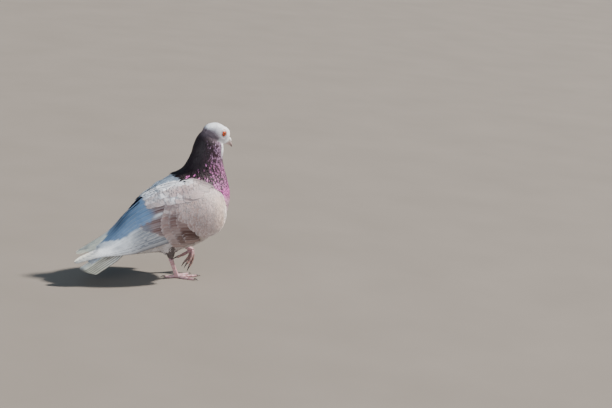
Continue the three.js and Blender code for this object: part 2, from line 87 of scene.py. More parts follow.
TAIL_ROOT = np.array([-80, 0, 62]) * MM
TAIL_LENGTH = 82 * MM
TAIL_SLOPE = math.radians(34)
TAIL_HALF_WIDTH = (15 * MM, 27 * MM)
TAIL_ARCH = (13 * MM, 5 * MM)
TAIL = {"count": 12, "half_width": 9.2 * MM, "step": 0.75, "camber": 1.0, "lift": 1.5}
SECONDARY_COUNT, PRIMARY_COUNT = 10, 11
PALE_EDGED = (2, 6, 9)                  # the secondaries with a pale edge, from the top
WING_QUILL = (0.25 * MM, 0.35 * MM)     # thickness of the vane and height of the shaft's ridge
TAIL_QUILL = (0.28 * MM, 0.4 * MM)

LEGS = {
    "right": {
        "thigh": [(-22, -21, 66), (-21, -18, 50), (-16.5, -12, 34)],
        "ankle": (-15.5, -11, 30), "knuckle": (-1.5, -0.8, 4.0), "pad": (0, 0, 2.3), "floor": 0.0,
        "toes": {
            "hallux": [(-2, -0.3, 2.6), (-10, 1.2, 1.5), (-17, 3.5, 1.25)],
            "inner": [(1, 2, 2.8), (10, 7.5, 1.6), (21.5, 12.5, 1.3)],
            "middle": [(1, 0, 2.8), (14, -0.5, 1.6), (30, 0.5, 1.3)],
            "outer": [(1, -2, 2.8), (9, -9.5, 1.6), (19, -17.5, 1.3)],
        },
    },
    "left": {
        "thigh": [(-12, 23, 66), (-7, 22.5, 57), (-1, 22, 50)],
        "ankle": (1, 22, 48), "knuckle": (28, 21, 36), "pad": (28, 21, 36), "floor": None,
        "toes": {
            "hallux": [(26.5, 21, 34), (17, 21.6, 28.5), (7.5, 22.5, 24.5)],
            "inner": [(28.5, 19, 34), (26.5, 15.5, 25), (20, 13.5, 17)],
            "middle": [(30, 21, 34.5), (31.5, 21, 22), (27, 21, 10.5)],
            "outer": [(28.5, 23, 34), (28.5, 27, 24), (23, 29.5, 15)],
        },
    },
}
TOE_PADS = {"hallux": 2, "inner": 3, "middle": 4, "outer": 4}
TARSUS_RADIUS = 2.5 * MM
TOE_RADIUS = 2.3 * MM
FOOT_PAD = np.array([4.4, 4.0, 2.9]) * MM
CLAW = {"length": 7.5 * MM, "radius": 1.35 * MM, "tip": 0.25 * MM}
CLAW_STEPS, CLAW_SIDES = 26, 18

SKIN_VOXEL, JOINED_VOXEL = 1.3 * MM, 1.2 * MM
LEG_VOXEL, CERE_VOXEL = 0.42 * MM, 0.28 * MM
SEEDS = {"neck": 11, "body": 12, "head": 13, "coverts": 30, "scapulars": 40, "thighs": 50,
         "greater_coverts": 60}
NECK_CUTS = (0.178, 0.149)              # heights at which the neck's coat is divided
SHIELD_SHARE = 0.4                      # how far along the wing the small coverts' roots go
MAP_MARGIN = 0.02                       # left free round a coat's colour map
FLESH_GROWTH = 0.25 * MM                # closes the thin gaps between the solids
CAMERA = {"place": [-0.8954, -2.1477, 0.6480], "heading": 63, "tilt": 12.7, "roll": 4.9, "lens": 97.65,
          "sensor": 36, "near": 0.05, "far": 60}
FLOOR_HALF = 12.0


# ------------------------------------------------------------------ small helpers
def tone(red, green, blue):
    """A colour as light sees it, from everyday values of 0 to 255."""
    share = np.array([red, green, blue]) / 255
    return np.where(share <= 0.04045, share / 12.92, ((share + 0.055) / 1.055) ** 2.4)


def side_name(side):
    return "right" if side < 0 else "left"


def unit(vectors):
    return vectors / np.maximum(np.linalg.norm(vectors, axis=-1, keepdims=True), 1e-12)


def mix(a, b, share):
    return a + (b - a) * share


def rise(x, low, high):
    """Goes smoothly from 0 at low to 1 at high."""
    t = np.clip((x - low) / (high - low), 0, 1)
    return t * t * (3 - 2 * t)


def through(rows, place):
    """A smooth curve through rows of values, at a place counted in rows."""
    rows = np.asarray(rows, float)
    place = np.clip(np.asarray(place, float), 0, len(rows) - 1)
    first = np.minimum(place.astype(int), len(rows) - 2)
    f = (place - first).reshape(place.shape + (1,) * (rows.ndim - 1))
    a, b, c, d = (rows[np.clip(first + k, 0, len(rows) - 1)] for k in (-1, 0, 1, 2))
    return 0.5 * (2 * b + (c - a) * f + (2 * a - 5 * b + 4 * c - d) * f ** 2
                  + (3 * b - a - 3 * c + d) * f ** 3)


def turn_of(count):
    """Evenly spaced angles round one full turn."""
    return np.linspace(0, 2 * math.pi, count + 1)[:-1]


def power_circle(angle, power):
    """Cosine and sine of a superellipse."""
    c, s = np.cos(angle), np.sin(angle)
    return np.sign(c) * np.abs(c) ** (2 / power), np.sign(s) * np.abs(s) ** (2 / power)


def ripple(points, size, seed=0.0):
    """Soft irregular patches of about the given size, from -1 to 1."""
    x, y, z = (points / size).T
    return (np.sin(2.1 * x + 1.3 * y + seed) * np.cos(1.7 * y - 2.3 * z + 2 * seed)
            + np.sin(3.3 * z - 1.9 * x + 3 * seed) * np.cos(2.9 * y + 1.1 * x)) / 2


# ------------------------------------------------------------------ meshes from arrays
def link(thing):
    bpy.context.scene.collection.objects.link(thing)
    return thing


def piece_from(name, points, quads, corners=()):
    """A mesh object from an array of points, one of four-cornered faces and one of triangles."""
    quads = np.asarray(quads, int).reshape(-1, 4)
    corners = np.asarray(corners, int).reshape(-1, 3)
    mesh = bpy.data.meshes.new(name)
    mesh.vertices.add(len(points))
    mesh.vertices.foreach_set("co", np.asarray(points, np.float32).ravel())
    mesh.loops.add(quads.size + corners.size)
    mesh.loops.foreach_set("vertex_index", np.concatenate([quads.ravel(), corners.ravel()]).astype(np.int32))
    starts = np.concatenate([np.arange(len(quads)) * 4, quads.size + np.arange(len(corners)) * 3])
    mesh.polygons.add(len(starts))
    mesh.polygons.foreach_set("loop_start", starts.astype(np.int32))
    mesh.update(calc_edges=True)
    mesh.validate()
    mesh.shade_smooth()
    return link(bpy.data.objects.new(name, mesh))


def facing_out(points, quads, corners):
    """The same closed body with its faces turned outwards."""
    p, c = points[quads], points[corners]
    volume = sum(np.einsum("ij,ij->", first, np.cross(second, third)) for first, second, third in (
        (p[:, 0], p[:, 1], p[:, 2]), (p[:, 0], p[:, 2], p[:, 3]), (c[:, 0], c[:, 1], c[:, 2])))
    return (points, quads, corners) if volume > 0 else (points, quads[:, ::-1], corners[:, ::-1])


def loft(rings):
    """Points, four-cornered faces and end triangles of a closed body through rings of equal length."""
    rings = np.asarray(rings, float)
    count, sides = rings.shape[:2]
    points = np.concatenate([rings.reshape(-1, 3), rings[:1].mean(1), rings[-1:].mean(1)])
    r, s = np.meshgrid(np.arange(count - 1), np.arange(sides), indexing="ij")
    a, b = (r * sides + s).ravel(), (r * sides + (s + 1) % sides).ravel()
    quads = np.stack([a, b, b + sides, a + sides], 1)
    k = np.arange(sides)
    after = (k + 1) % sides
    last = (count - 1) * sides
    start_cap = np.stack([np.full(sides, count * sides), after, k], 1)
    end_cap = np.stack([np.full(sides, count * sides + 1), last + k, last + after], 1)
    return facing_out(points, quads, np.concatenate([start_cap, end_cap]))


def stacked(bodies):
    """Several (points, quads, corners) as one."""
    points, quads, corners, base = [], [], [], 0
    for p, q, c in bodies:
        points.append(p)
        quads.append(q + base)
        corners.append(c + base)
        base += len(p)
    return np.concatenate(points), np.concatenate(quads), np.concatenate(corners)


def surface_of(piece):
    """The points of a piece, and the direction out of it at each."""
    read = []
    for source, what in ((piece.data.vertices, "co"), (piece.data.vertex_normals, "vector")):
        values = np.empty(len(source) * 3, np.float32)
        source.foreach_get(what, values)
        read.append(values.reshape(-1, 3).astype(float))
    return read


def move_points(piece, points):
    piece.data.vertices.foreach_set("co", points.astype(np.float32).ravel())


def finished(piece, finish):
    """The piece with one material alone."""
    piece.data.materials.clear()
    piece.data.materials.append(finish)
    return piece


def add_map(mesh, name, flat):
    """Stores a flat place for each corner of each face."""
    mesh.uv_layers.new(name=name).data.foreach_set("uv", flat.astype(np.float32).ravel())


def sharpen(mesh, across):
    """Marks as sharp the edges that run along a feather's rim, where across is -1 or 1."""
    edges = [bool(abs(across[list(e.vertices)]).min() == 1) for e in mesh.edges]
    mesh.attributes.new("sharp_edge", "BOOLEAN", "EDGE").data.foreach_set("value", edges)


def paint(mesh, name, colours):
    """Stores a colour for each point."""
    layer = mesh.attributes.new(name, "FLOAT_COLOR", "POINT")
    full = np.concatenate([colours, np.ones((len(colours), 1))], 1)
    layer.data.foreach_set("color", full.astype(np.float32).ravel())


def store(mesh, name, values):
    """Stores a number or a vector for each point."""
    values = np.asarray(values, np.float32)
    vector = values.ndim == 2
    layer = mesh.attributes.new(name, "FLOAT_VECTOR" if vector else "FLOAT", "POINT")
    layer.data.foreach_set("vector" if vector else "value", values.ravel())


def plain(piece):
    """The piece with the mesh that its modifiers make, and without them."""
    depsgraph = bpy.context.evaluated_depsgraph_get()
    mesh = bpy.data.meshes.new_from_object(
        piece.evaluated_get(depsgraph), preserve_all_data_layers=True, depsgraph=depsgraph)
    piece.modifiers.clear()
    piece.data = mesh
    return piece


def remeshed(piece, voxel, smoothing):
    """The piece as one closed surface of small even faces, smoothed."""
    for kind, settings in (("REMESH", {"mode": "VOXEL", "voxel_size": voxel, "use_smooth_shade": True}),
                           ("SMOOTH", {"factor": 0.5, "iterations": smoothing})):
        modifier = piece.modifiers.new(kind.lower(), kind)
        for key, value in settings.items():
            setattr(modifier, key, value)
    return plain(piece)


# ------------------------------------------------------------------ the surfaces that feathers lie on
def body_point(section, angle, inset=0.0):
    """On the neck and trunk. section runs from 0 in the head, angle from the bird's left over the back."""
    back_x, back_z, front_x, front_z, half = np.moveaxis(through(BODY, section), -1, 0)
    zero = np.zeros_like(back_x)
    back = np.stack([back_x, zero, back_z], -1)
    front = np.stack([front_x, zero, front_z], -1)
    up = unit(back - front)
    half_height = np.linalg.norm(back - front, axis=-1) / 2 - inset
    c, s = power_circle(angle, 2.12)
    point = (back + front) / 2 + up * (s * half_height)[..., None]
    point[..., 1] += c * (half - inset)
    return point


def turned(x, y, angle):
    return x * math.cos(angle) - y * math.sin(angle), x * math.sin(angle) + y * math.cos(angle)


def head_point(forward, left, height):
    """From millimetres ahead, left and above the middle of the head, to where that is on the bird."""
    x, y, z = (np.asarray(k, float) * HEAD_SCALE * MM for k in (forward, left, height))
    x, z = turned(x, z, -HEAD_PITCH)
    x, y = turned(x, y, HEAD_TURN)
    return np.stack(np.broadcast_arrays(x, y, z), -1) + HEAD_CENTRE


def head_place(points):
    """The reverse of head_point."""
    x, y, z = ((points - HEAD_CENTRE) / (HEAD_SCALE * MM)).T
    x, y = turned(x, y, -HEAD_TURN)
    x, z = turned(x, z, HEAD_PITCH)
    return x, y, z


def skull_point(behind, angle, inset=0.0):
    """On the head. behind runs from 0 at the bill to 1 at the back of the skull."""
    t = 1 - np.asarray(behind, float)
    place = t * (len(SKULL_TOP) - 1)
    deep = inset / (MM * HEAD_SCALE)
    top, bottom = through(SKULL_TOP, place) - deep, through(SKULL_BOTTOM, place) + deep
    half = through(SKULL_HALF_WIDTH, place) - deep
    c, s = power_circle(angle, 2.1)
    forward = mix(SKULL_BACK + deep, SKULL_FRONT - deep, t)
    return head_point(forward, c * half, (top + bottom) / 2 + s * (top - bottom) / 2)


def wing_point(along, down, depth=0.0, side=-1):
    """On the folded wing. along runs from the wrist to the tip, down from the upper to the lower edge.

    Where down is below 0, the surface turns over the upper edge, towards the middle of the back.
    """
    def place(a, d):
        rows = through(WING, a * (len(WING) - 1))
        upper, lower, bulge = rows[..., 0:3], rows[..., 3:6], rows[..., 6:7]
        on = np.maximum(d, 0)[..., None]
        face = mix(upper, lower, on) + WING_OUT * (bulge * 4 * on * (1 - on))
        inward = unit(upper - lower - WING_OUT * bulge * 4)
        room = (np.abs(upper[..., 1:2]) - 0.4 * MM) / np.maximum(inward[..., 1:2], 0.3)
        over = room * (1 - np.exp(-OVER_THE_BACK * np.maximum(-d, 0)[..., None] / room))
        return face + inward * over - np.array([0, 0, 45.0]) * over ** 2

    along, down, depth = np.broadcast_arrays(*(np.asarray(k, float) for k in (along, down, depth)))
    step = 0.004
    normal = unit(np.cross(place(along + step, down) - place(along - step, down),
                           place(along, down + step) - place(along, down - step)))
    normal *= np.where(np.sum(normal * WING_OUT, -1) < 0, -1, 1)[..., None]
    point = place(along, down) - normal * depth[..., None]
    if side > 0:
        sag = np.sin(math.pi * np.clip(along / LEFT_WING_DROP["until"], 0, 1)) ** 2 * np.minimum(1, 1 - down)
        point = point * [1, -1, 1] + LEFT_WING_SHIFT * (np.clip(along, 0, 1) ** 2)[..., None]
        point[..., 2] -= LEFT_WING_DROP["deep"] * sag
        point[..., 2] += LEFT_WING_LEVEL * rise(along, 0.62, 0.9) * np.clip(down, 0, 1)
        point[..., 1] -= LEFT_TIP_IN * rise(along, 0.72, 0.96)
        point[..., 2] -= LEFT_TIP_DOWN * rise(along, 0.74, 0.94)
    else:
        point[..., 2] += RIGHT_TIP_RISE * rise(along, 0.84, 0.96) * (1 - np.clip(down, 0, 1))
    return point


def wing_surface(side):
    """One wing as a surface of (along, down)."""
    return lambda along, down, inset=0.0: wing_point(along, down, inset, side)


def tail_point(along, across, depth=0.0):
    """On the tail fan. across runs from -1 at its right edge to 1 at its left."""
    back = along * TAIL_LENGTH
    wide = mix(*TAIL_HALF_WIDTH, along) * across
    drop = mix(*TAIL_ARCH, along) * across ** 2 + depth
    return TAIL_ROOT + np.stack([-back * math.cos(TAIL_SLOPE), wide, -back * math.sin(TAIL_SLOPE) - drop], -1)


def limb_frame(points, t):
    """Middle, sideways and upward directions along a bent limb through three points."""
    a, b, c = (np.array(p, float) * MM for p in points)
    ab, bc = np.linalg.norm(b - a), np.linalg.norm(c - b)
    k = ab / (ab + bc)
    t = np.asarray(t, float)[..., None]
    middle = (a * (1 - t) * (k - t) / k + b * t * (1 - t) / (k * (1 - k)) + c * t * (t - k) / (1 - k))
    along = unit(a * (2 * t - 1 - k) / k + b * (1 - 2 * t) / (k * (1 - k)) + c * (2 * t - k) / (1 - k))
    level = np.stack([-along[..., 1], along[..., 0], 0 * along[..., 0]], -1)
    flat = np.linalg.norm(level, axis=-1, keepdims=True) > 0.01
    across = unit(np.where(flat, level, [0.0, 1.0, 0.0]))
    return middle, across, unit(np.cross(along, across))


def limb_point(points, radius, t, angle, inset=0.0):
    middle, across, up = limb_frame(points, t)
    r = (radius(np.asarray(t, float)) - inset)[..., None]
    return middle + across * (np.cos(angle)[..., None] * r) + up * (np.sin(angle)[..., None] * r)


def thigh_radius(t):
    return mix(15, 4.2, rise(t, 0, 1)) * MM


# ------------------------------------------------------------------ skin
# How deep the skin lies under the solids' faces. It is deeper at the nape, where the feathers stand out.
COAT = {"head": 1.0 * MM, "neck": 1.7 * MM, "body": 2.4 * MM, "wing": 2.2 * MM, "thigh": 1.6 * MM}
NAPE = {"middle": (14.5, 0, 206), "deeper": 2.2 * MM, "reach": 9 * MM}


def flesh_copy(nodes):
    """The named solids as one mesh with shared corners, each grown a little so that their gaps close."""
    points, corners, base = [], [], 0
    for name in nodes:
        sheet = bmesh.new()
        sheet.from_mesh(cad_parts[name].data)
        bmesh.ops.remove_doubles(sheet, verts=sheet.verts, dist=1e-6)
        sheet.normal_update()
        points += [v.co + v.normal * FLESH_GROWTH for v in sheet.verts]
        corners += [[v.index + base for v in f.verts] for f in sheet.faces]
        base += len(sheet.verts)
        sheet.free()
    return piece_from("flesh", np.array(points), [], corners)


def wing_arm(side):
    """The flesh and bones of the folded arm, under the wing coverts."""
    along = np.linspace(0.03, 0.42, 26)
    down = np.linspace(0.07, 0.88, 18)
    rings = []
    for a in along:
        round_end = math.sqrt(max(0.05, min(1, (a - 0.02) / 0.05)))
        inner = COAT["wing"] + 7 * MM * round_end
        outer_line = wing_point(a, down, COAT["wing"] + 1.5 * MM * (1 - round_end), side)
        inner_line = wing_point(a, down[::-1], inner, side)
        rings.append(np.concatenate([outer_line, inner_line]))
    return loft(rings)


def coat_depth(points):
    """How far the skin lies under the tips of the feathers."""
    from_head = np.linalg.norm(points - HEAD_CENTRE, axis=1)
    depth = mix(COAT["neck"], COAT["body"], rise(-points[:, 2], -0.175, -0.13))
    depth = mix(COAT["head"], depth, rise(from_head, 15 * MM, 32 * MM))
    nape = np.linalg.norm(points - np.array(NAPE["middle"]) * MM, axis=1)
    depth = depth + NAPE["deeper"] * np.exp(-(nape / NAPE["reach"]) ** 2)
    for leg in LEGS.values():
        end = np.array(leg["thigh"][2]) * MM
        depth = mix(0.5 * MM, depth, rise(np.linalg.norm(points - end, axis=1), 6 * MM, 24 * MM))
    return depth


# Ellipsoids (middle, half-sizes) under the feathers that stand out at the back of the head and over the brow.
HEAD_FILLS = [((37.2, -1.5, 214.4), (13.6, 10.6, 12.8)), ((55.4, 1.2, 211.8), (10.6, 10.2, 10.6))]


class Skin:
    """The skin's surface, for finding the nearest place on it and its direction there."""
    def __init__(self, piece):
        points, self.normals = surface_of(piece)
        self.faces = [tuple(f.vertices) for f in piece.data.polygons]
        self.tree = BVHTree.FromPolygons([Vector(p) for p in points], self.faces)

    def nearest(self, points):
        found = [self.tree.find_nearest(Vector(p)) for p in points]
        place = np.array([f[0] for f in found])
        normal = unit(np.array([self.normals[list(self.faces[f[2]])].mean(0) for f in found]))
        return place, normal


def body_skin():
    """One closed skin of head, neck, trunk, thighs and folded arms, without its markings yet."""
    flesh = ["head", "neck", "trunk", "leg_right_thigh", "leg_left_thigh"]
    piece = remeshed(flesh_copy(flesh), SKIN_VOXEL, 10)
    points, normals = surface_of(piece)
    move_points(piece, points - normals * coat_depth(points)[:, None])
    fills = [ball(np.array(centre) * MM, np.array(radii) * MM) for centre, radii in HEAD_FILLS]
    arms = piece_from("arms", *stacked([wing_arm(-1), wing_arm(1)] + fills))
    return remeshed(join("skin", [piece, arms]), JOINED_VOXEL, 4)


def join(name, pieces):
    """Several mesh objects as one, each keeping its materials."""
    bpy.ops.object.select_all(action="DESELECT")
    for piece in pieces:
        piece.select_set(True)
    bpy.context.view_layer.objects.active = pieces[0]
    bpy.ops.object.join()
    pieces[0].name = name
    pieces[0].data.name = name
    return pieces[0]


# ------------------------------------------------------------------ one vane, and the tree that lays vanes
VANES = {
    # outline: half-width, as a share, at steps from the root to the tip. camber: how far the edges drop,
    # and thick: how far the shaft stands out, for each unit of half-width.
    "round": {"outline": [0.25, 0.62, 0.9, 1.0, 0.93, 0.66, 0.2], "camber": 0.13, "thick": 0.05},
    "hackle": {"outline": [0.3, 0.66, 0.92, 1.0, 0.86, 0.55, 0.22], "camber": 0.2, "thick": 0.07},
    "covert": {"outline": [0.3, 0.75, 0.97, 1.0, 0.93, 0.66, 0.2], "camber": 0.05, "thick": 0.03},
}
VANE_STEPS = np.array([0.0, 0.14, 0.34, 0.58, 0.78, 0.92, 1.0])


def vane(name, outline, camber, thick):
    """A thin closed feather blade. Its shape is stored as (share of half-width, share of length, rise)."""
    across = np.array([-1, -0.5, 0, 0.5, 1, 0])
    over = np.array([0, 0.5, 1, 0.5, 0, -0.6])            # upper side, then the one line of the underside
    rings = []
    for along, half in zip(VANE_STEPS, outline):
        x = across * half
        z = thick * over * min(1, 4 * (1.02 - along)) - camber * x ** 2
        rings.append(np.stack([x, np.full(6, along), z], 1))
    points, quads, corners = loft(rings)
    piece = piece_from(name, points, quads, corners)
    store(piece.data, "shape", points)
    edge = np.append(np.tile(across, len(VANE_STEPS)), [0, 0])
    along = np.append(np.repeat(VANE_STEPS, 6), [0, 1])
    owner = np.array([loop.vertex_index for loop in piece.data.loops])
    add_map(piece.data, "vane", np.stack([edge[owner] / 2 + 0.5, along[owner]], 1))
    sharpen(piece.data, edge)
    piece.hide_render = True
    return piece


PATCH = 0.003                           # how large each feather is on the coat's colour map
RAGGED = 0.1                            # how much narrower than its outline a vane may be


class Tree:
    """Builds a node tree, one node a call."""
    def __init__(self, tree):
        self.tree = tree

    def node(self, kind, *inputs, **settings):
        made = self.tree.nodes.new(kind)
        for key, value in settings.items():
            setattr(made, key, value)
        for key, value in enumerate(inputs):
            self.feed(made.inputs[key], value)
        return made

    def feed(self, socket, value):
        if isinstance(value, bpy.types.NodeSocket):
            self.tree.links.new(value, socket)
        elif value is not None:
            socket.default_value = value

    def vector(self, operation, a, b=None):
        made = self.node("ShaderNodeVectorMath", a, None, operation=operation)
        self.feed(made.inputs["Scale" if operation == "SCALE" else 1], b)
        return made.outputs[0]

    def number(self, operation, a, b=None):
        return self.node("ShaderNodeMath", a, b, operation=operation).outputs[0]

    def plus(self, a, b):
        return self.number("ADD", a, b)

    def minus(self, a, b):
        return self.number("SUBTRACT", a, b)

    def times(self, a, b):
        return self.number("MULTIPLY", a, b)

    def noted(self, name):
        """A vector stored on the geometry."""
        made = self.node("GeometryNodeInputNamedAttribute", data_type="FLOAT_VECTOR")
        made.inputs["Name"].default_value = name
        return made.outputs["Attribute"]


def feather_tree():
    """Lays one vane from each root, bent through the root's own middle and tip."""
    group = bpy.data.node_groups.new("feathers along their lie", "GeometryNodeTree")
    for name, kind in [("Roots", "Geometry"), ("Vane", "Object"), ("Patch", "Float"), ("Ragged", "Float"),
                       ("Seed", "Int"), ("Finish", "Material")]:
        group.interface.new_socket(name, in_out="INPUT", socket_type="NodeSocket" + kind)
    group.interface.new_socket("Feathers", in_out="OUTPUT", socket_type="NodeSocketGeometry")
    t = Tree(group)
    given = t.node("NodeGroupInput").outputs
    vane_shape = t.node("GeometryNodeObjectInfo", given["Vane"]).outputs["Geometry"]
    placed = t.node("GeometryNodeInstanceOnPoints", given["Roots"])
    t.feed(placed.inputs["Instance"], vane_shape)
    real = t.node("GeometryNodeRealizeInstances", placed.outputs[0]).outputs[0]

    shape = t.noted("shape")
    part = t.node("ShaderNodeSeparateXYZ", shape).outputs
    ragged = t.node("FunctionNodeRandomValue", data_type="FLOAT")
    t.feed(ragged.inputs[2], 0.0)
    t.feed(ragged.inputs[3], given["Ragged"])
    t.feed(ragged.inputs["Seed"], given["Seed"])
    width = t.times(part[0], t.minus(1.0, ragged.outputs[1]))
    along = part[1]
    rest = t.minus(1.0, along)
    root = t.vector("SUBTRACT", t.node("GeometryNodeInputPosition").outputs[0], shape)
    twice_less_one = t.minus(t.times(along, 2.0), 1.0)
    root_share = t.times(t.times(rest, twice_less_one), -1.0)
    middle_share = t.times(t.times(along, rest), 4.0)
    tip_share = t.times(along, twice_less_one)
    place = t.vector("SCALE", root, root_share)
    for name, share in (("middle", middle_share), ("tip", tip_share), ("side", width), ("out", part[2])):
        place = t.vector("ADD", place, t.vector("SCALE", t.noted(name), share))
    laid = t.node("GeometryNodeSetPosition", real)
    t.feed(laid.inputs["Position"], place)

    centred = t.vector("SUBTRACT", t.noted("vane"), (0.5, 0.5, 0.0))
    on_map = t.vector("ADD", t.noted("on_map"), t.vector("SCALE", centred, given["Patch"]))
    mapped = t.node("GeometryNodeStoreNamedAttribute", laid.outputs[0], data_type="FLOAT2", domain="CORNER")
    mapped.inputs["Name"].default_value = "OFBake"
    t.feed(mapped.inputs["Value"], on_map)
    coloured = t.node("GeometryNodeSetMaterial", mapped.outputs[0])
    t.feed(coloured.inputs["Material"], given["Finish"])
    t.node("NodeGroupOutput", coloured.outputs[0])
    return group


LAYING = ("middle", "tip", "side", "out", "on_map")


def feathered(name, tract, vane_piece, finish, tree):
    """A coat piece: every feather of a tract as plain mesh."""
    mesh = bpy.data.meshes.new(name)
    mesh.from_pydata(tract["root"].tolist(), [], [])
    for key in LAYING:
        store(mesh, key, tract[key])
    store(mesh, "chance", tract["chance"])
    paint(mesh, "plume", tract["plume"])
    paint(mesh, "rim", tract["rim"])
    piece = link(bpy.data.objects.new(name, mesh))
    modifier = piece.modifiers.new("lay", "NODES")
    modifier.node_group = tree
    sockets = {s.name: s.identifier for s in tree.interface.items_tree if s.in_out == "INPUT"}
    for key, value in (("Vane", vane_piece), ("Patch", PATCH), ("Ragged", RAGGED), ("Seed", len(name)),
                       ("Finish", finish)):
        modifier[sockets[key]] = value
    made = finished(plain(piece), finish).data
    made.name = name
    made.polygons.foreach_set("material_index", np.zeros(len(made.polygons), np.int32))
    for key in LAYING + ("shape",):
        made.attributes.remove(made.attributes[key])
    made.uv_layers["OFBake"].active_render = False
    return piece


# ------------------------------------------------------------------ where feathers grow
ROW_POINTS = 73                         # where a row's length is measured


def scatter(surface, first, last, around, gap, gap_across, rng, jitter=0.25):
    """Roots in staggered rows over a surface. gap and gap_across are functions of the first coordinate."""
    a_all, b_all = [], []
    a, odd = first, 0
    spread = np.linspace(*around, ROW_POINTS)
    step = (last - first) * 1e-3
    while a < last:
        here = surface(np.full(ROW_POINTS, a), spread)
        run = np.append(0, np.cumsum(np.linalg.norm(np.diff(here, axis=0), axis=1)))
        speed = np.linalg.norm(surface(np.full(ROW_POINTS, a + step), spread) - here, axis=1).mean() / step
        count = max(3, round(run[-1] / gap_across(a)))
        place = (np.arange(count) + 0.25 + 0.5 * odd + rng.uniform(-jitter, jitter, count)) / count
        b_all.append(np.interp(np.clip(place, 0, 1) * run[-1], run, spread))
        a_all.append(a + rng.uniform(-jitter, jitter, count) * gap(a) / speed)
        a += gap(a) / speed
        odd = 1 - odd
    return np.concatenate(a_all), np.concatenate(b_all)


def walk(surface, a, b, reach, turn):
    """The coordinates reached after going that far over the surface, in its main direction turned."""
    step = 1e-3
    speed_a = np.linalg.norm(surface(a + step, b) - surface(a - step, b), axis=1) / (2 * step)
    speed_b = np.linalg.norm(surface(a, b + step) - surface(a, b - step), axis=1) / (2 * step)
    return (a + reach * np.cos(turn) / np.maximum(speed_a, 1e-4),
            b + reach * np.sin(turn) / np.maximum(speed_b, 1e-4))


def lay(root, middle, tip, out, half_width, on_map, plume, rim, rng, roll=0.08):
    """The arrays that the feather tree needs, one row to a feather."""
    along = unit(tip - root)
    side = unit(np.cross(along, out))
    lean = rng.normal(0, roll, len(root))[:, None]
    side, out = side * np.cos(lean) + out * np.sin(lean), out * np.cos(lean) - side * np.sin(lean)
    flat_map = np.concatenate([on_map, np.zeros((len(root), 1))], 1)
    return {"root": root, "middle": middle, "tip": tip, "side": side * half_width[:, None],
            "out": out * half_width[:, None], "on_map": flat_map, "plume": plume, "rim": rim,
            "chance": rng.random(len(root))}


def kept(tract, mask):
    return {key: value[mask] for key, value in tract.items()}


def together(*tracts):
    return {key: np.concatenate([t[key] for t in tracts]) for key in tracts[0]}


# ------------------------------------------------------------------ markings, shared by skin and coat
WHITE = tone(240, 240, 243)
PALE_GREY = tone(190, 190, 197)
CHEEK_GREY = tone(158, 148, 150)
NAPE_GREY = tone(98, 84, 92)
NECK_DARK = tone(34, 20, 26)
NECK_PLUM = tone(76, 44, 60)
NECK_LILAC = tone(158, 124, 154)
NECK_PINK = tone(186, 108, 164)
NECK_MAGENTA = tone(202, 98, 172)
BREAST_MAUVE = tone(166, 136, 148)
BREAST_PALE = tone(212, 195, 189)
BELLY = tone(184, 175, 173)
VENT = tone(214, 211, 208)
# pale back feathers, tinted bluish as painted sky-lit shade
PALE_BACK_SKY_SHADE = tone(212, 221, 233)
SCALLOP = tone(66, 72, 90)
THIGH_GREY = tone(86, 75, 73)
COVERT_MAUVE = tone(182, 163, 160)
COVERT_BEIGE = tone(190, 164, 149)
COVERT_BROWN = tone(100, 70, 66)
COVERT_DUSK = tone(146, 118, 111)
COVERT_RUST = tone(74, 43, 38)
SCAPULAR = tone(158, 131, 130)
# dark plum, painted: the shadow under the hackles' ends, and on the wing also the dark of the hackles over it
HACKLE_DARK_AND_SHADOW = tone(74, 50, 58)
QUILL_BROWN = tone(104, 75, 73)
QUILL_PALE = tone(216, 208, 209)
QUILL_WHITE = tone(242, 243, 245)
# painted shade: dusky blue-grey between the brown secondaries and the white primaries
QUILL_DUSK_SHADE = tone(96, 102, 116)
TAIL_WHITE = tone(250, 249, 243)
# painted shadow in the gaps between the tail feathers
QUILL_GAP_SHADOW = tone(74, 62, 48)
TAIL_CREAM = tone(250, 243, 218)
# painted shade over pale blue-grey plumage: the long feathers' upper part, turned away from the light
QUILL_SLATE_AND_SHADE = tone(100, 132, 168)
QUILL_DEEP_SLATE_SHADE = tone(52, 76, 102)
QUILL_CREAM = tone(244, 236, 214)
# grey feather edges, partly painted shadow in the gaps between the long feathers
QUILL_EDGE_AND_GAP_SHADE = tone(120, 122, 132)
QUILL_OCHRE = tone(118, 98, 66)
QUILL_TIP = tone(112, 92, 74)


def frontness(angle):
    """From -1 on the middle of the back to 1 on the middle of the breast."""
    return -np.sin(angle)


def hackle_end(angle):
    """The body section where the neck's hackles end and the plumage of the body starts."""
    return through([3.5, 4.0, 4.58, 4.55, 4.45], (frontness(angle) + 1) * 2)


def shaded(colour, chance, amount=0.07):
    """Small differences between one feather and the next."""
    return np.clip(colour * (1 + amount * (2 * chance[:, None] - 1)), 0, 1)


def blend(*steps):
    """Colours mixed one over the other: a first colour, then (colour, share) pairs."""
    colour = steps[0]
    for over, share in steps[1:]:
        colour = mix(colour, over, share[:, None])
    return colour


def plainly(colour, like):
    """One colour for every row of an array."""
    return np.tile(colour, (len(like), 1))


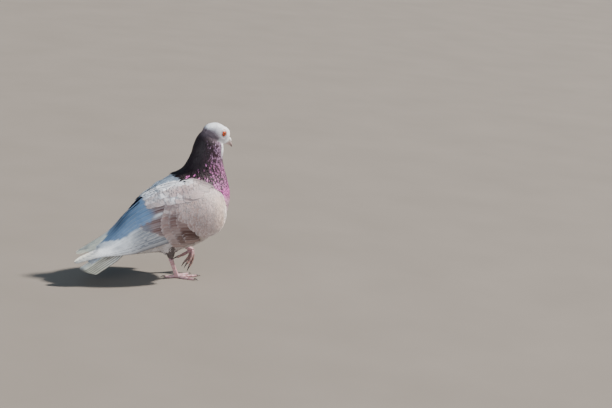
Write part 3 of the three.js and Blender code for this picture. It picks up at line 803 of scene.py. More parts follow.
def neck_markings(section, angle, chance, other):
    """Colours of the neck's hackles and of their rims. chance and other pick out the bright ones: painted
    iridescent glints of pink and magenta, more often, and on a plummier ground, towards the front.
    """
    front = frontness(angle)
    end = hackle_end(angle)
    low = rise(section, end - 1.5, end - 0.8)
    # painted iridescent glints: bright pink and magenta flecks, more of them towards the front
    often = mix(rise(front, -0.6, 0.7) * 0.66, rise(front, -0.9, 0.0), low)
    iridescent_glint = (chance < often).astype(float) * mix(mix(0.4, 0.8, low), 1.0, other)
    base = blend(plainly(NECK_DARK, section), (NECK_PLUM, other * rise(front, -0.9, 0.3)))
    glint_colour = blend(plainly(NECK_LILAC, section), (NECK_PINK, rise(section, 1.3, 2.4)), (NECK_MAGENTA, low))
    plume = mix(base, glint_colour, iridescent_glint[:, None])
    nape = (1 - rise(section, 0.1, 0.8)) * (1 - rise(front, 0.0, 0.6))
    throat = rise(front, 0.56, 0.8) * (1 - rise(section, 0.85, 1.55))
    fade = rise(front, 0.25, 0.8) * rise(section, end - 0.95, end - 0.05)
    plume = blend(plume, (NAPE_GREY, nape * 0.6), (WHITE, throat), (BREAST_MAUVE, fade))
    return plume, plume * mix(0.4, 0.9, np.maximum(throat, np.maximum(fade, nape)))[:, None]


def body_markings(section, angle, chance, other):
    """Colours of the feathers of breast, belly and back, and of their rims."""
    front = frontness(angle)
    # painted shadow: a dark band just below where the hackles end, on the back and sides
    shadow_under_hackles = (1 - rise(section - hackle_end(angle), 0.3, 0.65)) * rise(front, -0.97, -0.7)
    plume = blend(
        plainly(BREAST_MAUVE, section),
        (BREAST_PALE, rise(section, 4.7, 5.7)),
        (COVERT_BEIGE, 1 - rise(front, 0.5, 0.85)),
        (BELLY, rise(section, 5.9, 7.4)),
        (VENT, rise(section, 8.6, 10.5)),
        # pale back, its bluish cast painted sky-lit shade
        (PALE_BACK_SKY_SHADE, 1 - rise(front, -0.62, -0.35)),
        (HACKLE_DARK_AND_SHADOW, shadow_under_hackles * (1 - rise(front, 0.2, 0.5)) * 0.9),
    )
    on_back = (1 - rise(front, -0.8, -0.5)) * rise(section, 4.2, 5.0) * (1 - rise(section, 9.5, 11.5))
    rim = mix(plume * 0.93, SCALLOP, (on_back * mix(0.35, 1.0, other))[:, None])
    return shaded(plume, chance), rim


def head_markings(points, chance):
    """Colours of the head's feathers and of their rims: pale in front, grey at the nape."""
    forward, _, height = head_place(points)
    pale = np.maximum(rise(0.5 * forward + 1.2 * height, -9, 6), rise(forward, -4, 3))
    cap = rise(height, 6, 13) * rise(forward, -24, -13)
    face = rise(forward, 5, 13)
    cheek = rise(forward, -4, 2) * (1 - rise(forward, 9, 13))
    cheek = cheek * (1 - rise(height, -3, 1)) * rise(height, -14, -8)
    plume = blend(plainly(NAPE_GREY, points), (PALE_GREY, pale * 0.9),
                  (WHITE, np.maximum(cap, face) * 0.95), (CHEEK_GREY, cheek * 0.4))
    return shaded(plume, chance, 0.05), plume * 0.97


def patch(along, down, middle, size, power=2):
    """A soft-edged patch on the wing, 1 in its middle."""
    return np.exp(-np.abs((along - middle[0]) / size[0]) ** power
                  - np.abs((down - middle[1]) / size[1]) ** power)


def slate_shade_edge(along):
    """How far down the bluish upper part of the long feathers reaches: pale slate plumage darkened as painted
    shade where the feathers turn away from the light.
    """
    return 0.43 - 0.48 * rise(along, 0.71, 0.88)


def wing_markings(along, down, chance):
    """Colour at each place of the folded wing's small feathers."""
    flat = np.stack([along * WING_REACH, down * WING_DEPTH, 0 * down], 1)
    mottle = ripple(flat, 6.5 * MM)
    plume = blend(
        plainly(COVERT_MAUVE, along),
        (COVERT_BEIGE, (1 - rise(along, 0.1, 0.26)) * rise(down, 0.12, 0.35)),
        (COVERT_DUSK, rise(along, 0.12, 0.3) * rise(down, 0.16, 0.4) * (0.6 + 0.4 * mottle)),
        (SCAPULAR, patch(along, down, (0.36, 0.17), (0.08, 0.07)) * 0.9),
        (SCAPULAR, patch(along, down, (0.45, 0.31), (0.06, 0.04))),
        (COVERT_RUST, patch(along, down, (0.415, 0.85), (0.06, 0.13), 3)),
        (COVERT_BROWN, patch(along, down, (0.465, 0.6), (0.05, 0.17), 3) * 0.9),
        (COVERT_MAUVE, patch(along, down, (0.47, 0.82), (0.03, 0.08)) * 0.7),
        (BREAST_PALE, (1 - rise(along, 0.2, 0.3)) * rise(down, 0.9, 0.97) * 0.7),
        (VENT, (1 - rise(along, 0.03, 0.13)) * rise(down, 0.3, 0.7) * 0.8),
        (WHITE, (1 - rise(down, 0.02, 0.09)) * rise(along, 0.24, 0.34)),
        # painted highlight: a white line along the lower side of the scapulars' crease
        (WHITE, patch(along, down, (0.415, 0.235), (0.04, 0.03))),
        (WHITE, patch(along, down, (0.48, 0.13), (0.05, 0.04)) * 0.8),
        (WHITE, patch(along, down, (0.52, 0.4), (0.03, 0.03))),
        # painted shadow under the hackles' ends on the top front of the wing, as dark as the hackles that
        # hang over it
        (HACKLE_DARK_AND_SHADOW, (1 - rise(down, 0.04, 0.12)) * np.exp(-np.abs((along - 0.175) / 0.08) ** 4) * 0.95),
    )
    cloud = 1 + 0.24 * mottle + 0.16 * ripple(flat, 2.8 * MM, 1.7)
    return shaded(plume * cloud[:, None], chance, 0.13)


def slate_shaded(colour, along, down):
    """The bluish slate of the long feathers' upper part, over their own colour: pale blue-grey plumage with
    painted shade, its wavy lower edge a painted shadow edge, and deeper painted shadow where the wings meet.
    """
    edge = slate_shade_edge(along) + 0.02 * np.sin(along * 190)
    slate_shade = (1 - rise(down, edge - 0.025, edge + 0.025)) * rise(along, 0.52, 0.57)
    slate_shade = slate_shade * (1 - 0.8 * rise(along, 0.8, 0.9))
    # painted deep shadow in the gap between the two wings
    deep = patch(along, down, (0.7, 0.02), (0.07, 0.12))
    return blend(colour, (QUILL_SLATE_AND_SHADE, slate_shade * 0.95), (QUILL_DEEP_SLATE_SHADE, slate_shade * deep))


def quill_markings(along, down, brown):
    """Colour at each place of the long wing feathers. brown is 1 for the secondaries' part of the wing."""
    return blend(
        plainly(QUILL_WHITE, along),
        (QUILL_BROWN, brown),
        (QUILL_CREAM, rise(along, 0.84, 0.95) * 0.8),
        (QUILL_TIP, rise(along, 0.965, 0.99) * rise(down, 0.2, 0.6)),
    )


def markings(points):
    """The colour of the plumage over any point of the skin."""
    section, angle = np.meshgrid(np.linspace(0, 12.5, 90), turn_of(60), indexing="ij")
    section, angle = section.ravel(), angle.ravel()
    near = Nearest(body_point(section, angle, COAT["body"])).find(points)
    middling = np.full(len(points), 0.5)
    s, a = section[near], angle[near]
    neck, body = (kind(s, a, middling, middling)[0] for kind in (neck_markings, body_markings))
    head = head_markings(points, middling)[0]
    colour = mix(neck, body, rise(s, hackle_end(a) - 0.2, hackle_end(a) + 0.2)[:, None])
    from_head = np.linalg.norm(points - HEAD_CENTRE, axis=1)
    return mix(np.minimum(head * 1.5, 1), colour, rise(from_head, 17 * MM, 22 * MM)[:, None])


class Nearest:
    """Finds which of many points is nearest to each of others."""
    def __init__(self, points):
        self.tree = KDTree(len(points))
        for index, point in enumerate(points):
            self.tree.insert(point, index)
        self.tree.balance()

    def find(self, wanted):
        return np.array([self.tree.find(point)[1] for point in wanted])


# ------------------------------------------------------------------ tracts of small feathers
def on_skin(skin, surface, a, b, coat, lift, reach, turn):
    """Feathers pressed onto the skin: their three places, the way out, and how far each root moved."""
    steps = [(a, b), walk(surface, a, b, reach / 2, turn), walk(surface, a, b, reach, turn)]
    places, outs, moved = [], [], []
    for (aa, bb), height in zip(steps, (-0.0002, 0.5 * lift + 0.00015, lift)):
        bare = surface(aa, bb, coat)
        place, out = skin.nearest(bare)
        gap = np.linalg.norm(place - bare, axis=1)
        away = rise(gap, 5 * MM, 8 * MM)[:, None]
        height = np.broadcast_to(height, gap.shape)[:, None]
        places.append(mix(place + out * height, surface(aa, bb, 0.3 * MM), away))
        outs.append(out)
        moved.append(gap)
    return places, outs[1], moved[0]


def wing_cover(points, least=1.2 * MM):
    """True for points that lie under a folded wing, at least so deep."""
    hidden = np.zeros(len(points), bool)
    along, down = np.meshgrid(np.linspace(0.02, 0.98, 70), np.linspace(0.03, 0.97, 26), indexing="ij")
    along, down = along.ravel(), down.ravel()
    inside = (along > 0.05) & (down > 0.08) & (down < 0.93)
    for side in SIDES.values():
        cover = wing_point(along, down, 0, side)
        outward = unit(cover - wing_point(along, down, 1 * MM, side))
        near = Nearest(cover).find(points)
        gap = points - cover[near]
        deep = -(gap * outward[near]).sum(1)
        hidden |= inside[near] & (deep > least) & (np.linalg.norm(gap, axis=1) < 32 * MM)
    return hidden


def unwrapped(a, low, high, b, first=0.0, last=2 * math.pi):
    """Where roots lie on a flat unwrapping of their own surface."""
    shares = np.stack([(b - first) / (last - first), (a - low) / (high - low)], 1)
    return MAP_MARGIN + (1 - 2 * MAP_MARGIN) * shares


FULL_TURN = (0.5 * math.pi, 2.5 * math.pi)


def neck_tract(skin):
    """The hackles, from the back of the head to the line where the body's plumage starts."""
    rng = np.random.default_rng(SEEDS["neck"])
    a, b = scatter(body_point, 0.1, 5.0, FULL_TURN,
                   lambda q: mix(1.8, 2.7, q / 5) * MM, lambda q: mix(1.2, 1.9, q / 5) * MM, rng)
    keep = a < hackle_end(b)
    a, b = a[keep], b[keep]
    count = len(a)
    near_end = rise(a, hackle_end(b) - 0.8, hackle_end(b))
    reach = mix(6.4, 11.5, rise(a, 0, 4.5)) * MM * rng.uniform(0.88, 1.12, count)
    half = mix(0.95, 1.6, rise(a, 0, 4.5)) * MM
    lift = (mix(1.4, 2.2, rise(a, 0, 4)) + 2.4 * near_end * (1 - rise(frontness(b), 0.4, 0.85))) * MM
    coat = mix(COAT["neck"], COAT["body"], rise(a, 2, 4))
    turn = rng.normal(0, 0.1, count)
    (root, middle, tip), out, moved = on_skin(skin, body_point, a, b, coat, lift, reach, turn)
    chance, other = rng.random(count), rng.random(count)
    plume, rim = neck_markings(a, b, chance, other)
    tract = lay(root, middle, tip, out, half, unwrapped(a, 0, 5.2, b, *FULL_TURN), plume, rim, rng)
    close = moved < mix(6.0, 3.4, rise(frontness(b), -0.3, 0.2)) * MM
    return kept(tract, close & ~wing_cover(root) & ~wing_cover(tip, -3 * MM))


def body_tract(skin):
    """The feathers of breast, belly, back and vent."""
    rng = np.random.default_rng(SEEDS["body"])
    a, b = scatter(body_point, 3.0, 13.4, FULL_TURN,
                   lambda q: mix(3.3, 5.2, rise(q, 3, 11)) * MM,
                   lambda q: mix(3.2, 4.8, rise(q, 3, 9)) * MM, rng)
    keep = a > hackle_end(b) - 0.3
    a, b = a[keep], b[keep]
    count = len(a)
    back = 1 - rise(frontness(b), -0.7, -0.2)
    reach = (mix(11, 21, rise(a, 3, 12)) + 2 * back) * MM * rng.uniform(0.92, 1.08, count)
    half = mix(3.2, 5.0, rise(a, 3, 9)) * MM
    coat = np.full(count, COAT["body"])
    lift = mix(2.2, 2.6, back) * MM
    turn = rng.normal(0, 0.09, count)
    (root, middle, tip), out, moved = on_skin(skin, body_point, a, b, coat, lift, reach, turn)
    chance, other = rng.random(count), rng.random(count)
    plume, rim = body_markings(a, b, chance, other)
    tract = lay(root, middle, tip, out, half, unwrapped(a, 3, 13.6, b, *FULL_TURN), plume, rim, rng)
    seen = (moved < 4 * MM) | (a > 11.4)
    return kept(tract, seen & ~wing_cover(middle))


def eye_axis(side):
    """Middle of the eyeball and the direction it looks in."""
    centre = head_point(EYE["forward"], side * EYE["side"], EYE["height"])
    ahead = head_point(EYE["forward"] + 0.1, side * (EYE["side"] + 10), EYE["height"] + 0.4)
    return centre, unit(ahead - centre)


def head_tract(skin):
    """The small feathers of the head, clear of eyes and bill."""
    rng = np.random.default_rng(SEEDS["head"])
    a, b = scatter(skull_point, 0.015, 0.985, FULL_TURN,
                   lambda q: mix(0.8, 1.25, rise(q, 0, 0.7)) * MM,
                   lambda q: mix(0.62, 1.0, rise(q, 0, 0.7)) * MM, rng)
    count = len(a)
    crest = rise(a, 0.74, 0.92) * rise(np.sin(b), -0.1, 0.5)
    reach = (mix(2.5, 6.6, rise(a, 0, 0.9)) * rng.uniform(0.85, 1.15, count) + 5 * crest) * MM
    half = mix(0.48, 0.82, rise(a, 0, 0.8)) * MM
    lift = mix(0.4, 0.8, rise(a, 0.05, 0.6)) * MM
    coat = np.full(count, COAT["head"])
    turn = rng.normal(0, 0.12, count)
    (root, middle, tip), out, moved = on_skin(skin, skull_point, a, b, coat, lift, reach, turn)
    plume, rim = head_markings(root, rng.random(count))
    tract = lay(root, middle, tip, out, half, unwrapped(a, 0, 1, b, *FULL_TURN), plume, rim, rng)
    clear = moved < 5 * MM
    for side in SIDES.values():
        centre, axis = eye_axis(side)
        for spot, room in ((root, LID["outer"] - 0.3), (tip, LID["outer"] - 0.7)):
            gap = spot - centre
            from_axis = np.linalg.norm(gap - (gap @ axis)[:, None] * axis, axis=1)
            clear &= (from_axis > room * MM) | (gap @ axis < 0)
    forward, _, height = head_place(root)
    clear &= ~((forward > BILL["start"] - 1.2) & (height < 3.2))
    return kept(tract, clear)


def thigh_tract(skin, leg, seed):
    """The short feathers of one thigh."""
    rng = np.random.default_rng(seed)
    points = leg["thigh"]

    def surface(t, angle, inset=0.0):
        return limb_point(points, thigh_radius, t, angle, inset)

    a, b = scatter(surface, 0.12, 1.0, (0, 2 * math.pi),
                   lambda t: 1.9 * MM, lambda t: mix(3.0, 1.7, t) * MM, rng)
    count = len(a)
    reach = mix(10, 5.2, a) * MM * rng.uniform(0.9, 1.1, count)
    half = mix(2.9, 1.35, rise(a, 0, 1)) * MM
    coat = mix(COAT["thigh"], 0.5 * MM, rise(a, 0.3, 1))
    lift = mix(1.9, 0.9, a) * MM
    turn = rng.normal(0, 0.12, count)
    (root, middle, tip), out, moved = on_skin(skin, surface, a, b, coat, lift, reach, turn)
    plume = shaded(np.tile(THIGH_GREY, (count, 1)), rng.random(count), 0.1)
    tract = lay(root, middle, tip, out, half, unwrapped(a, 0, 1.05, b), plume, plume * 0.9, rng)
    return kept(tract, moved < 2.5 * MM)


# ------------------------------------------------------------------ wing coverts
def wing_roll(along, down):
    """How much deeper the wing's surface lies where it turns in at the wrist and at its lower edge."""
    return (3.2 * (1 - rise(along, 0.0, 0.05)) ** 2 + 2.6 * rise(down, 0.9, 1.02) ** 2) * MM


def on_wing(side, along, down, reach, turn, root_depth, tip_depth):
    """Root, middle, tip and outward direction of feathers on a folded wing."""
    surface = wing_surface(side)
    steps = [(along, down)] + [walk(surface, along, down, far, turn) for far in (reach / 2, reach)]
    depths = (root_depth, (root_depth + tip_depth) / 2 - 0.1 * MM, tip_depth)
    places = [wing_point(a, d, depth + wing_roll(a, d), side) for (a, d), depth in zip(steps, depths)]
    a, d = steps[1]
    out = unit(wing_point(a, d, 0, side) - wing_point(a, d, 1 * MM, side))
    return places, out


def shield_end(down):
    """How far back the small coverts reach, at each height on the wing."""
    ends = [0.43, 0.43, 0.43, 0.42, 0.425, 0.43, 0.42, 0.39, 0.36, 0.325, 0.28]
    return through(ends, np.clip(down, 0, 1) * 10)


def covert_tract(side, seed):
    """The smooth shield of small coverts over the wrist and the front of the wing."""
    rng = np.random.default_rng(seed)
    surface = wing_surface(side)
    along, down = scatter(surface, 0.0, SHIELD_SHARE, (-0.02, 0.985),
                          lambda a: mix(2.5, 4.2, (a / SHIELD_SHARE) ** 1.3) * MM,
                          lambda a: mix(2.4, 3.9, a / SHIELD_SHARE) * MM, rng, 0.3)
    along = np.maximum(along, 0.006)
    count = len(along)
    far = np.clip(along / SHIELD_SHARE, 0, 1)
    reach = mix(8.5, 19, far ** 1.2) * MM * rng.uniform(0.92, 1.08, count)
    turn = rng.normal(0.03, 0.07, count)
    keep = walk(surface, along, down, reach, turn)[0] < shield_end(down) + rng.normal(0, 0.006, count)
    along, down, reach, turn, far = (k[keep] for k in (along, down, reach, turn, far))
    half = mix(2.9, 4.9, far) * MM
    places, out = on_wing(side, along, down, reach, turn, 1.15 * MM, 0.3 * MM)
    seen = walk(surface, along, down, 0.8 * reach, turn)
    plume = wing_markings(*seen, rng.random(len(along)))
    rim = blend(plume, (QUILL_PALE, np.full(len(along), 0.3)))
    return lay(*places, out, half, unwrapped(along, -0.02, 0.46, down, -0.05, 1), plume, rim, rng, 0.02)


def greater_covert_tract(side, seed):
    """Three rows of larger coverts between the shield and the secondaries."""
    rng = np.random.default_rng(seed)
    surface = wing_surface(side)
    rows = []
    for back, depth in ((0.0, 1.75), (0.04, 1.5), (0.08, 1.25)):
        down = np.arange(0.3 + back, 0.99, 0.052)
        down = down + rng.uniform(-0.006, 0.006, len(down))
        end = through([0.47, 0.505, 0.52, 0.5, 0.47], (down - 0.3) / 0.69 * 4) - back
        count = len(down)
        reach = rng.uniform(25, 28, count) * MM
        turn = mix(-0.1, -0.4, rise(down, 0.35, 0.9)) + rng.normal(0, 0.03, count)
        along, start = walk(surface, end, down, -reach, turn)
        seen = walk(surface, along, start, 0.85 * reach, turn)
        places, out = on_wing(side, along, start, reach, turn, (depth + 0.7) * MM, (depth - 0.5) * MM)
        plume = wing_markings(*seen, rng.random(count))
        rim = blend(plume, (QUILL_PALE, rng.uniform(0.05, 0.35, count)))
        on_map = unwrapped(along, 0, 0.6, start, 0, 1.05)
        rows.append(lay(*places, out, np.full(count, 4.8 * MM), on_map, plume, rim, rng, 0.03))
    return together(*rows)


def scapular_tract(side, seed):
    """The long soft feathers that hang from the shoulder over the top of the wing, in two drapes."""
    rng = np.random.default_rng(seed)
    surface = wing_surface(side)
    drapes = []
    for first, last, edge, lift in ((0.26, 0.47, (0.37, -0.4), 0.1), (0.13, 0.385, (0.315, -1.0), 0.9)):
        along, down = scatter(surface, first, last, (-0.13, 0.36),
                              lambda a: 4.6 * MM, lambda a: 4.4 * MM, rng, 0.28)
        lowest = edge[0] + edge[1] * np.clip(along - 0.24, 0, 1) - 2 * np.clip(0.24 - along, 0, 1) - 0.035
        keep = down < lowest
        along, down = along[keep], down[keep]
        count = len(along)
        reach = mix(17, 25, rise(along, 0.16, 0.4)) * MM * rng.uniform(0.93, 1.07, count)
        half = mix(4.6, 6.0, rise(along, 0.16, 0.4)) * MM
        turn = rng.normal(0.0, 0.06, count) - 0.1 * rise(along, 0.3, 0.45)
        places, out = on_wing(side, along, down, reach, turn, (0.7 - lift) * MM, (-0.35 - lift) * MM)
        seen = walk(surface, along, down, 0.8 * reach, turn)
        plume = wing_markings(*seen, rng.random(count))
        scallop = (1 - rise(seen[1], 0.0, 0.08)) * rise(seen[0], 0.38, 0.46) * (rng.random(count) < 0.6)
        rim = blend(plume, (QUILL_PALE, np.full(count, 0.3)), (SCALLOP, scallop * 0.9))
        on_map = unwrapped(along, 0, 0.7, down, -0.2, 0.5)
        drapes.append(lay(*places, out, half, on_map, plume, rim, rng, 0.015))
    return together(*drapes)


# ------------------------------------------------------------------ long feathers of wing and tail
ACROSS = np.array([-1, -0.9, -0.65, -0.35, -0.07, 0, 0.07, 0.35, 0.65, 0.9, 1])     # over the upper side
UNDER = np.array([0.7, 0.07, 0, -0.07, -0.7])                                       # and back underneath
QUILL_STEPS = 28


def quill(place, outline, thick, ridge):
    """One long feather. place gives a point for (along, across, depth); outline the half-width there."""
    steps = 1 - (1 - np.linspace(0, 1, QUILL_STEPS)) ** 1.6
    keel = ridge * np.maximum(0, 1 - np.abs(ACROSS) / 0.07)
    rings, ring_steps = [], np.repeat(steps, len(ACROSS) + len(UNDER))
    for along in steps:
        half = outline(along)
        fade = 1 - 0.7 * along
        upper = place(along, ACROSS * half, -keel * fade)
        lower = place(along, UNDER * half, np.where(np.abs(UNDER) < 0.5, thick + ridge * fade * 0.7, thick))
        rings.append(np.concatenate([upper, lower]))
    across = np.tile(np.concatenate([ACROSS, UNDER]), QUILL_STEPS)
    return loft(rings), np.append(across, [0, 0]), np.append(ring_steps, [0, 1])


def quill_piece(name, feathers, finish):
    """Feathers as one mesh. Each feather is (quill, colour function of across and along)."""
    piece = piece_from(name, *stacked([body for (body, _, _), _ in feathers]))
    across = np.concatenate([a for (_, a, _), _ in feathers])
    along = np.concatenate([s for (_, _, s), _ in feathers])
    size = len(across) // len(feathers)
    owner = np.repeat(np.arange(len(feathers)), size)
    colours = [colour(across[owner == i], along[owner == i]) for i, (_, colour) in enumerate(feathers)]
    paint(piece.data, "plume", np.concatenate([c[0] for c in colours]))
    paint(piece.data, "rim", np.concatenate([c[1] for c in colours]))
    store(piece.data, "chance", (owner * 0.618) % 1)
    mesh = piece.data
    vertex = np.empty(len(mesh.loops), int)
    mesh.loops.foreach_get("vertex_index", vertex)
    face_size = np.array([len(f.vertices) for f in mesh.polygons])
    face = np.repeat(np.arange(len(mesh.polygons)), face_size)
    sides = len(ACROSS) + len(UNDER)
    quads = (face_size == 4).sum()
    underside = (face < quads) & (face % sides >= len(ACROSS) - 1)
    column = owner[vertex] * 2 + underside
    flat = np.stack([across[vertex] / 2 + 0.5, along[vertex]], 1)
    add_map(mesh, "vane", flat)
    strip = (column + 0.04 + 0.92 * flat[:, 0]) / (2 * len(feathers))
    add_map(mesh, "OFBake", np.stack([strip, 0.01 + 0.98 * flat[:, 1]], 1))
    sharpen(mesh, across)
    return finished(piece, finish)


def rounding(along, start):
    """From 1 at start down to almost nothing at the tip."""
    return max(0.03, 1 - max(0.0, (along - start) / (1 - start)) ** 2)


def round_tip(start, power=0.5):
    """A feather that keeps its width and then rounds off."""
    return lambda along: rounding(along, start) ** power * mix(0.72, 1, min(1, along * 3))


def pointed_tip(along):
    """A feather that narrows all the way and ends in a blunt point."""
    narrower = mix(1, 0.9, rise(along, 0.35, 0.97))
    return rounding(along, 0.94) ** 0.5 * narrower * mix(0.6, 1, min(1, along * 4))


def secondaries(side, finish):
    """The brown and white long feathers that fan out from under the coverts, the upper over the lower."""
    def feather(i):
        t = i / (SECONDARY_COUNT - 1)
        start = mix(0.1, 0.9, t)
        end = through([0.575, 0.615, 0.635, 0.625, 0.555], 4 * t)
        slope = mix(0.25, 0.75, t)
        width = mix(0.085, 0.065, t)

        def where(along, across):
            u = mix(0.33, end, along)
            return u, start - slope * (u - 0.36) - width * 0.6 + across * width

        def place(along, across, depth):
            u, v = where(along, across)
            u = np.full(len(v), u)
            deep = (2.75 + 0.14 * i - 1.5 * rise(u, 0.47, 0.56)) * MM + 0.45 * MM * across ** 2
            return wing_point(u, v, deep + depth + wing_roll(u, v), side)

        def colour(across, along):
            u, v = where(along, across)
            brown = rise(t, 0.2, 0.3) * (1 - 0.12 * rise(across, 0.3, 0.7)) * (1 - 0.08 * (i % 2))
            plume = blend(quill_markings(u, v, brown),
                          (SCAPULAR, (1 - rise(u, 0.53, 0.58)) * (1 - rise(t, 0.2, 0.3)) * 0.8),
                          # painted shade at the secondaries' ends
                          (QUILL_DUSK_SHADE, rise(u, 0.555, 0.6) * rise(v, 0.4, 0.5) * 0.8),
                          (WHITE, patch(u, v, (0.52, 0.4), (0.035, 0.025))))
            pale_edge = (0.9 if i in PALE_EDGED else 0.15) * rise(across, -0.2, 0.2)
            rim = blend(plume, (QUILL_PALE, pale_edge), (QUILL_EDGE_AND_GAP_SHADE, 0.3 * rise(-across, -0.2, 0.2)))
            return slate_shaded(plume, u, v), slate_shaded(rim, u, v)

        return quill(place, round_tip(0.8), *WING_QUILL), colour

    return quill_piece(f"{side_name(side)}_secondaries", [feather(i) for i in range(SECONDARY_COUNT)], finish)


def primaries(side, finish):
    """The long pale feathers of the wing's point, each longer than the one above it."""
    def feather(i):
        t = i / (PRIMARY_COUNT - 1)
        low = mix(0.1, 0.985, t)
        top = mix(-0.02 if side < 0 else -0.2, 0.56, t)
        start = mix(0.5, 0.33, t ** 2)
        end = mix(0.87 if side < 0 else 0.94, 0.998, rise(t, 0, 1.1)) - (0.01 if t == 1 else 0)
        tip_middle, tip_half = mix(0.22, 0.56, t), mix(0.4, 0.5, t)

        def where(along, across):
            u = mix(start, end, along)
            spread = rise(u, 0.84, 0.97)
            middle, half = mix((low + top) / 2, tip_middle, spread), mix((low - top) / 2, tip_half, spread)
            return u, middle + across * half

        def place(along, across, depth):
            u, v = where(along, across)
            u = np.full(len(v), u)
            deep = (4.4 + 0.15 * i - 3.9 * rise(u, 0.6, 0.7)) * MM + 0.3 * MM * across ** 2
            return wing_point(u, v, deep + depth + wing_roll(u, v), side)

        def colour(across, along):
            u, v = where(along, across)
            # painted shade where the primaries run out from under the secondaries
            dusk_shade = np.maximum((1 - rise(u, 0.62, 0.76)) * rise(v, 0.38, 0.52),
                              0.8 * patch(u, v, (0.77, 0.63), (0.04, 0.1)))
            edge = 0.95 * rise(across, -0.2, 0.2) * (1 - 0.4 * rise(u, 0.85, 0.95))
            plume = blend(quill_markings(u, v, 0 * u),
                          (QUILL_DUSK_SHADE, dusk_shade * (0.75 + 0.2 * np.sin(9 * across + 5 * t))),
                          (QUILL_EDGE_AND_GAP_SHADE, 0.3 * rise(across, 0.5, 0.95)),
                          # cream tips, laid warmer on the far wing only as painted sunlight
                          (TAIL_CREAM, rise(u, 0.76, 0.86) * (0.85 if side > 0 else 0)))
            return slate_shaded(plume, u, v), slate_shaded(blend(plume, (QUILL_EDGE_AND_GAP_SHADE, edge)), u, v)

        return quill(place, pointed_tip, *WING_QUILL), colour

    return quill_piece(f"{side_name(side)}_primaries", [feather(i) for i in range(PRIMARY_COUNT)], finish)


def tail_feathers(finish):
    """The fan of the tail, its middle feathers over the outer ones."""
    def feather(i):
        t = i / (TAIL["count"] - 1)
        centre = 2 * t - 1
        layer = abs(i - (TAIL["count"] - 1) / 2)
        wide = TAIL["half_width"]

        def place(along, across, depth):
            a = mix(0.02, 0.98 - 0.15 * centre ** 2, along)
            half = mix(*TAIL_HALF_WIDTH, a)
            c = centre * (half - wide * 0.95) / half + across * min(wide, half * 0.6) / half
            deep = (TAIL["step"] * layer + TAIL["camber"] * across ** 2 - TAIL["lift"]) * MM
            return tail_point(np.full(len(c), a), c, deep + depth)

        def colour(across, along):
            cream = rise(along, 0.3, 0.9) * mix(0.4, 1, rise(np.abs(across), 0.2, 0.9))
            edge = rise(np.abs(across), 0.86, 0.98) * mix(0.3, 0.8, rise(along, 0.3, 0.9))
            # painted shadow: a dark band just under the next feather's edge, and dark rims in the gaps
            shade = (np.abs(np.abs(across) - 0.62) < 0.12) * rise(along, 0.05, 0.3)
            shade = shade * (0.6 if layer > 1 else 0)
            plume = blend(plainly(TAIL_WHITE, across), (TAIL_CREAM, cream), (QUILL_OCHRE, edge),
                          (QUILL_GAP_SHADOW, shade))
            return plume, plainly(QUILL_GAP_SHADOW, across)

        return quill(place, round_tip(0.88, 0.42), *TAIL_QUILL), colour

    return quill_piece("tail_feathers", [feather(i) for i in range(TAIL["count"])], finish)


# ------------------------------------------------------------------ eyes, lids, bill and cere
# The lid's section, in millimetres: (distance from the eye's axis, height along it).
LID = {"profile": [(3.76, 1.9), (3.8, 2.16), (3.9, 2.38), (4.08, 2.5), (4.34, 2.46), (4.7, 2.28), (5.2, 1.85),
                   (5.9, 1.1), (6.6, 0.3), (6.0, -0.1), (4.4, 0.8)], "outer": 4.95}
EYE_FLATNESS = 0.87


def eye_frame(side):
    """Middle of the eyeball, the direction it looks in, and two directions across that."""
    centre, axis = eye_axis(side)
    up = unit(np.array([0.0, 0, 1]) - axis[2] * axis)
    return centre, axis, unit(np.cross(up, axis)), up


def eyeball(side, finish):
    """An eyeball that stores how far each point is from its middle, and which way, for the iris."""
    centre, axis, across, up = eye_frame(side)
    polar = np.radians(np.concatenate([np.arange(1.5, 66, 1.5), np.arange(68, 179, 6)]))
    around = turn_of(64)
    radius = EYE["radius"] * HEAD_SCALE * MM
    circle = np.cos(around)[:, None] * across + np.sin(around)[:, None] * up
    rings = [centre + radius * (EYE_FLATNESS * math.cos(angle) * axis + math.sin(angle) * circle)
             for angle in polar]
    piece = piece_from(f"eyeball_{side_name(side)}", *loft(rings))
    store(piece.data, "ring", np.append(np.repeat(np.degrees(polar) / 90, len(around)), [0, 2]))
    turn = np.stack([np.cos(around), np.sin(around), 0 * around], 1)
    store(piece.data, "spoke", np.concatenate([np.tile(turn, (len(polar), 1)), np.zeros((2, 3))]))
    return finished(piece, finish)


def lid(side):
    """The bare ring of skin round an eye, closed underneath."""
    centre, axis, across, up = eye_frame(side)
    around = turn_of(96)
    r, h = np.array(LID["profile"]).T
    wrinkle = 0.05 * np.sin(around * 23 + 1.3 * np.sin(3 * around))[:, None]
    wrinkle = wrinkle * rise(r, 3.6, 4.4) * rise(-r, -6.4, -5)
    circle = np.cos(around)[:, None] * 1.06 * across + np.sin(around)[:, None] * 0.98 * up
    points = centre + (circle[:, None] * r[:, None] + axis * (h + wrinkle)[..., None]) * MM
    count, sides = points.shape[:2]
    a, b = np.meshgrid(np.arange(count), np.arange(sides), indexing="ij")
    after_a, after_b = (a + 1) % count, (b + 1) % sides
    quads = np.stack([a * sides + b, after_a * sides + b, after_a * sides + after_b, a * sides + after_b], -1)
    return facing_out(points.reshape(-1, 3), quads.reshape(-1, 4), np.zeros((0, 3), int))


def bill_seam(t):
    """Height of the line between the two halves of the bill, from 0 at its base to 1 at its tip."""
    return BILL["level"] - BILL["droop"] * t * BILL["length"] - 1.6 * t ** 4


